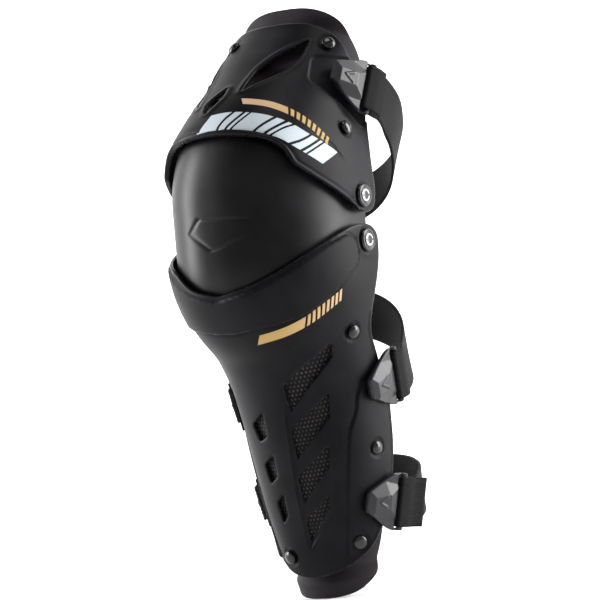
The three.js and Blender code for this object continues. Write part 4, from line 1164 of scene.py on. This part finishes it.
class GUARD_OT_clips(GuardOperator, bpy.types.Operator):
    """Faceted hook clips with a strap slot, and their keepers"""
    bl_idname, bl_label = "guard.clips", "Clips"

    def build(self, form_of):
        size, wide, nose, plate = mm("clip_length"), mm("clip_width") / 2, mm("clip_nose") / 2, mm("clip_plate")
        slot = mm("strap_width") / 2 + 0.8
        body = outline([[0, -nose, 1.5], [size - 13, -wide, 5], [size, -wide, 2.5],
                        [size, wide, 2.5], [size - 13, wide, 5],
                        [0, nose, 1.5]], 1)
        gap = outline([[size - 9.6, -slot, 1], [size - 5, -slot, 1], [size - 5, slot, 1],
                       [size - 9.6, slot, 1]], 1)
        mark = [outline([[20 + k, -6.5 + k, 1], [20 + k, 6.5 - k, 1],
                         [9.5 + 1.6 * k, 0, 1]][::-1], 1) for k in (0, 2.2)]

        def outer(x, y):
            spine = plate + 0.36 * (x + 1.0)
            flank = plate + 2.9 - 0.34 * (np.abs(y) - 9) - 0.05 * x
            upper = plate + 2.6 - 0.30 * (y - 6) + 0.06 * (x - 18)
            tail = plate + 0.30 * (size - 9.2 - x)
            z = np.minimum(np.minimum(np.minimum(spine, flank), upper), tail)
            z = np.clip(z, plate - 0.8, plate + 2.7)
            ridge = inside_of(mark[0], x, y), inside_of(mark[1], x, y)
            z = z + 0.55 * ramp(ridge[0], -0.2, 0.35) * (1 - ramp(ridge[1], -0.35, 0.2))
            bar = np.sqrt(np.maximum(1 - ((x - size + 2.5) / 3.3) ** 2, 0.05))
            return np.where(x > size - 9.6, 0.8 + (plate - 0.8) * bar, z)

        for name, plan in STRAPS.items():
            form = form_of[plan["body"]]
            axes, origin = clip_frame(form, plan)
            place = lambda x, y, z: form.world(np.stack([x, y, z + 0 * x], -1) @ axes + origin)
            obj = sheet(f"{name}_clip_body", cut_field(body, [gap]), (-1, -wide - 1),
                        (size + 1, wide + 1), 0.55, place,
                        outer, lambda x, y: 0 * x, 0.8, rows=4)
            lip = sheet(f"{name}_clip_lip",
                        cut_field(outline([[1.1, -6, 0.4], [2.7, -6, 0.4], [2.7, 6, 0.4],
                                           [1.1, 6, 0.4]], 1), []),
                        (0, -7), (4, 7), 0.4, place, lambda x, y: 0.6 + 0 * x, lambda x,
                        y: -1.4 + 0 * x, 0.3, rows=2)
            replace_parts(dress(obj, "clip_plastic", f"{name}_hook"),
                        f"{name}_clip")
            dress(lip, "clip_plastic", f"{name}_hook")
            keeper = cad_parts[f"{name}_keeper"]
            keeper.data.materials.clear()
            keeper.data.materials.append(once("nylon", nylon))


def strap_rows(form, plan, axes, origin):
    """Centre line of a strap with its degrees round the limb, the rows that lie
    on the shell and the point just past the clip's bar where it starts: from the clip round the back of the leg to
    a little past its anchor."""
    size, web = mm("clip_length"), mm("strap_web")
    anchor_deg, anchor_h = plan["anchor"]
    reach = lambda deg, h: float(np.hypot(*form.point(float(deg), float(h), 0.7 + web / 2)[:2]))
    local = lambda x, z: np.array([x, 0, z]) @ axes + origin
    tail = local(size + 13, -1.35)
    start = math.degrees(math.atan2(tail[0], -tail[1]))
    edge = -106.0
    climb = plan["sag"] * math.sin(math.pi * (360 + edge - start)
                                   / (360 + anchor_deg - start)) ** 1.4
    first = float(np.hypot(*tail[:2]))
    side = max(reach(edge, anchor_h + climb + t * mm("strap_width"))
               for t in (-0.5, -0.25, 0, 0.25, 0.5))
    last = 360.0 + anchor_deg + 9
    deg = np.linspace(start, last, 181)
    f = (deg - start) / (360 + anchor_deg - start)
    h = tail[2] + (anchor_h - tail[2]) * f + plan["sag"] * np.sin(np.pi * np.clip(f, 0, 1)) ** 1.4
    hoop = lambda d: section(np.deg2rad(d), 1, plan["back"] / side, 2.2)
    g = np.clip((deg - start) / (360 + edge - start), 0, 1)
    g = g * g * (3 - 2 * g)
    r = hoop(deg) * (first / hoop(start) * (1 - g) + side / hoop(edge) * g)
    on = deg >= 360 + edge + 2
    r = np.where(on, np.hypot(*form.point(deg - 360, np.full(deg.shape, float(anchor_h)),
                                          0.7 + web / 2).T[:2]), r)
    p = np.stack([r * np.sin(np.deg2rad(deg)), -r * np.cos(np.deg2rad(deg)), h], 1)
    return p, deg, on, tail


class GUARD_OT_straps(GuardOperator, bpy.types.Operator):
    """Woven elastic straps, each through its clip and folded back, and anchors"""
    bl_idname, bl_label = "guard.straps", "Straps"

    def build(self, form_of):
        size, plate, width, web = mm("clip_length"), mm("clip_plate"), mm("strap_width"), mm("strap_web")
        for name, plan in STRAPS.items():
            body = plan["body"]
            form = form_of[body]
            axes, origin = clip_frame(form, plan)
            p, deg, on, tail = strap_rows(form, plan, axes, origin)
            u = (deg - deg[0]) / (deg[-1] - deg[0])
            run = np.gradient(p, axis=0)
            run /= np.linalg.norm(run, axis=1, keepdims=True)
            lead = np.clip(1 - u * 9, 0, 1)[:, None]
            lead = lead * lead * (3 - 2 * lead)
            run = run * (1 - lead) + axes[0] * lead
            run /= np.linalg.norm(run, axis=1, keepdims=True)
            k = np.clip(u * 5, 0, 1)[:, None]
            tilt = axes[1] * (1 - k) + np.array([0, 0, 1.0]) * k
            wide = tilt - run * (tilt * run).sum(1, keepdims=True) * (1 - u[:, None] * 0.2)
            wide /= np.linalg.norm(wide, axis=1, keepdims=True)
            out = np.cross(run, wide)
            out /= np.linalg.norm(out, axis=1, keepdims=True)
            p = p + (tail - p[0]) * (1 - np.clip(u * 12, 0, 1))[:, None]
            # fold through the clip: under the bar, up the slot, back over it
            slot = size - 5 - 2.3
            a = np.linspace(0, math.pi / 2, 6)
            high = plate + 1.5
            bend = 1.6
            under = np.stack([np.linspace(size + 10, slot + bend + 0.5, 8), np.full(8, -1.35)], 1)
            turn1 = np.stack([slot + bend - bend * np.sin(a), -1.35 + bend - bend * np.cos(a)], 1)
            turn2 = np.stack([slot + bend - bend * np.cos(a), high - bend + bend * np.sin(a)], 1)
            free = np.linspace(0, 1, 14)[1:]
            over = np.stack([slot + bend + free * plan["tail"],
                             high - 2.2 * ramp(free * plan["tail"], 6, 18)], 1)
            path = np.concatenate([under, turn1, turn2, over])
            q = np.stack([path[:, 0], 0 * path[:, 0], path[:, 1]], 1)
            d = np.gradient(path, axis=0)
            d /= np.linalg.norm(d, axis=1, keepdims=True)
            fold_out = np.stack([d[:, 1], 0 * d[:, 0], -d[:, 0]],
                                1)  # keeps the same face up as the strap under the bar
            q, fold_out = q @ axes + origin, fold_out @ axes
            centre = np.concatenate([p[::-1], q])
            wides = np.concatenate([wide[::-1], np.repeat(axes[1][None], len(q), 0)])
            outs = np.concatenate([out[::-1], -fold_out])
            thin = np.concatenate([np.full(len(p), web / 2), np.full(len(q), 0.75)])
            thin[len(p) - 12:len(p)] = np.linspace(web / 2, 0.75, 12)
            shrink = np.concatenate([np.ones(len(p)), np.full(len(q), 0.985)])
            # rounded section round the web
            c = np.linspace(0, 2 * np.pi, 37)[:-1]
            across = np.interp(c,
                               [0, 0.35, np.pi - 0.35, np.pi, np.pi + 0.35, 2 * np.pi - 0.35,
                                2 * np.pi],
                               [1, 0.985, -0.985, -1, -0.985, 0.985, 1])
            up = np.interp(c, [0, 0.35, np.pi - 0.35, np.pi, np.pi + 0.35, 2 * np.pi - 0.35,
                               2 * np.pi], [0, 1, 1, 0, -1, -1, 0])
            pts = (centre[:, None] + wides[:,
                                           None] * (across * width / 2)[None, :, None]
                                           * shrink[:, None, None]
                   + outs[:, None] * up[None, :, None] * thin[:, None, None])
            # on the shell the web follows the form across its whole width
            rows = np.flatnonzero(np.concatenate([on[::-1], np.zeros(len(q), bool)]))
            dd = deg[::-1][rows][:, None] - 360
            hh = plan["anchor"][1] + across[None] * width / 2 + (p[::-1][rows, 2][:, None] - plan["anchor"][1])
            laid = form.point(dd + 0 * hh, hh, 0.7 + web / 2 + up[None] * web / 2)
            fade = ramp(dd, -104, -99)[..., None]
            pts[rows] = pts[rows] * (1 - fade) + laid * fade
            m, n = pts.shape[:2]
            idx = np.arange(m * n).reshape(m, n)
            nxt = np.roll(idx, -1, 1)
            faces = np.stack([idx[:-1], nxt[:-1], nxt[1:], idx[1:]], -1).reshape(-1, 4).tolist()
            faces += [idx[0][::-1].tolist(), idx[-1].tolist()]
            step = np.concatenate([[0],
                                   np.cumsum(np.linalg.norm(np.diff(centre, axis=0), axis=1))])
            value = np.stack([np.broadcast_to(across * width / 2, (m, n)),
                              np.broadcast_to(step[:, None], (m, n)), 0 * pts[..., 0]], -1)
            obj = make(f"{name}_strap_web", form.world(pts).reshape(-1, 3), faces,
                       {"web": value.reshape(-1, 3)})
            obj.data.materials.append(once("webbing", webbing))
            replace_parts(obj, f"{name}_strap", f"{name}_strap_end")
            # a point on the clip's bar and one on the strap near the clip; nothing uses them
            bar, near = form.world(q[0]), form.world(p[max(4, int(0.16 * len(p)))])
            tuple(near)
            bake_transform(obj)
            # anchor plate over the strap with its rivet
            axes2, origin2 = form.seat(float(plan["anchor"][0]), float(plan["anchor"][1]))
            top = 0.7 + web + 1.2
            place = lambda x, y, z: form.world(np.stack([x, y, z + 0 * x], -1) @ axes2 + origin2)
            plate_edge = outline([[-6.5, -15.5, 3], [6.5, -15.5, 3], [6.5, 15.5, 3],
                                  [-6.5, 15.5, 3]], 1)
            obj = sheet(f"{name}_anchor_plate", cut_field(plate_edge, []), (-7, -16), (7, 16),
                        0.6, place,
                        lambda x, y: top + 2.1 + 0.3 * ramp(np.hypot(x, y), 6.5,
                                                            5.5) - 0.35 * np.exp(-((np.abs(y) - 10.5) / 0.7) ** 2),
                        lambda x, y: top + 0 * x, 0.9, rows=4)
            dress(obj, "nylon", body)
            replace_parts(obj, f"{name}_anchor")
            under = -mm("shell_wall") - 2.6
            pin = turned(f"{name}_anchor_pin",
                         [(0, under), (4.6, under), (4.6, under + 1), (2.9, under + 1),
                          (2.9, top + 2.2),
                                               (4.3, top + 2.2), (4.3, top + 2.8),
                                               (3.2, top + 3.5), (0, top + 3.8)],
                         lambda v: form.world(v @ axes2 + origin2), 32)
            dress(pin, "gloss_black", body)


class GUARD_OT_stage(GuardOperator, bpy.types.Operator):
    """Pale sweep, soft boxes and the camera"""
    bl_idname, bl_label = "guard.stage", "Stage"

    def build(self, form_of):
        scene = bpy.context.scene
        low = CAD_BOX[0][2] - 0.0005
        back = np.array([math.sin(math.radians(35)), -math.cos(math.radians(35)), 0])
        right = np.array([math.cos(math.radians(35)), math.sin(math.radians(35)), 0])
        # floor that sweeps up into a wall behind the object
        run = np.concatenate([np.linspace(1e-5, 5, 12),
                              5 + np.sin(np.linspace(0.1, math.pi / 2, 12)), [6.0]])
        rise = np.concatenate([np.zeros(12), 1 - np.cos(np.linspace(0.1, math.pi / 2, 12)),
                               [7.0]])
        turn = np.linspace(0, 2 * np.pi, 72, endpoint=False)
        pts = np.stack([run[:, None] * np.cos(turn), run[:, None] * np.sin(turn),
                        rise[:, None] + low + 0 * turn], -1)
        idx = np.arange(len(run) * 72).reshape(-1, 72)
        nxt = np.roll(idx, -1, 1)
        faces = np.stack([idx[:-1], nxt[:-1], nxt[1:], idx[1:]], -1).reshape(-1, 4)
        floor = make("floor", pts.reshape(-1, 3), faces)
        b = Build("floor_pale")
        split = b.node("ShaderNodeSeparateXYZ", None, {0: b.place()})
        behind = Value(b, split.outputs[0]) * float(-back[0]) + Value(b, split.outputs[1]) * float(-back[1])
        glow = b.pick(behind.step(-0.3, 1.3), (0.05, 0.05, 0.05, 1), (1, 1, 1, 1))
        paint = b.pick(behind.step(-1.3, 0.1), (0.55, 0.55, 0.555, 1), (0.93, 0.93, 0.935, 1))
        floor.data.materials.append(b.finish(Base_Color=paint,
                                             Roughness=0.75 + b.noise(0.2) * 0.1,
                                             Emission_Color=glow, Emission_Strength=1.0))
        world = bpy.data.worlds.new("studio")
        scene.world = world
        world.use_nodes = True
        world.node_tree.nodes["Background"].inputs[0].default_value = (1, 1, 1, 1)
        world.node_tree.nodes["Background"].inputs[1].default_value = 0.06

        def soft(name, spot, aim, width, height, power):
            light = bpy.data.lights.new(name, "AREA")
            light.shape, light.size, light.size_y, light.energy = "RECTANGLE", width, height, power
            obj = bpy.data.objects.new(name, light)
            scene.collection.objects.link(obj)
            obj.matrix_world = look_from(np.array(spot), np.array(aim))
            return obj

        at = lambda r, f, z: right * r + back * f + np.array([0, 0, z])
        soft("box_right", at(1.45, -0.05, 0.35), (0, 0, -0.05), 0.6, 1.5, 34)
        soft("box_left", at(-1.45, -0.25, 0.2), (0, 0, -0.05), 0.5, 1.5, 32)
        soft("box_top", at(0.3, 0.3, 1.7), (0, 0, 0), 1.0, 0.8, 9)

        cam = bpy.data.cameras.new("camera")
        cam.sensor_width, cam.lens = 36, 36 * 2.6 / 0.507
        cam.clip_end = 50
        obj = bpy.data.objects.new("camera", cam)
        scene.collection.objects.link(obj)
        roll = math.radians(5)
        up = np.array([0, 0, 1.0])
        right2, up2 = math.cos(roll) * right - math.sin(roll) * up, math.sin(roll) * right + math.cos(roll) * up
        spot = right2 * 0.0144 - up2 * 0.0625 + back * 2.6
        m = Matrix.Identity(4)
        for i, axis in enumerate((right2, up2, back)):
            for k in range(3):
                m[k][i] = float(axis[k])
        for k in range(3):
            m[k][3] = float(spot[k])
        obj.matrix_world = m
        scene.camera = obj
        scene.view_settings.view_transform = "Standard"
        scene.view_settings.look = "None"


def look_from(spot, aim):
    """Matrix at spot whose -Z points at aim."""
    z = spot - aim
    z = z / np.linalg.norm(z)
    x = np.cross([0, 0, 1.0], z)
    x = x / max(np.linalg.norm(x), 1e-9) if np.linalg.norm(x) > 1e-6 else np.array([1.0, 0, 0])
    y = np.cross(z, x)
    m = Matrix.Identity(4)
    for i, axis in enumerate((x, y, z)):
        for k in range(3):
            m[k][i] = float(axis[k])
    for k in range(3):
        m[k][3] = float(spot[k])
    return m


class GUARD_PT_panel(bpy.types.Panel):
    """Buttons for each piece, and the sizes and colours"""
    bl_idname, bl_label = "GUARD_PT_panel", "Knee guard"
    bl_space_type, bl_region_type, bl_category = "VIEW_3D", "UI", "Guard"

    def draw(self, context):
        for operator in OPERATORS:
            self.layout.operator(operator.bl_idname)
        for group in (context.scene.guard_sizes, context.scene.guard_colours):
            box = self.layout.box()
            for name in group.__annotations__:
                box.prop(group, name)


OPERATORS = (GUARD_OT_stage, GUARD_OT_thigh_shell, GUARD_OT_shin_shell, GUARD_OT_knee_cup,
             GUARD_OT_liners, GUARD_OT_foam,
             GUARD_OT_rivets, GUARD_OT_pivots, GUARD_OT_clips, GUARD_OT_straps)
CLASSES = (GuardSizes, GuardColours, *OPERATORS, GUARD_PT_panel)


def register():
    for cls in CLASSES:
        bpy.utils.register_class(cls)
    bpy.types.Scene.guard_sizes = PointerProperty(type=GuardSizes)
    bpy.types.Scene.guard_colours = PointerProperty(type=GuardColours)


def unregister():
    del bpy.types.Scene.guard_colours
    del bpy.types.Scene.guard_sizes
    for cls in reversed(CLASSES):
        bpy.utils.unregister_class(cls)


def main():
    register()
    for operator in OPERATORS:
        group, name = operator.bl_idname.split(".")
        getattr(getattr(bpy.ops, group), name)()


if __name__ == "__main__":
    main()
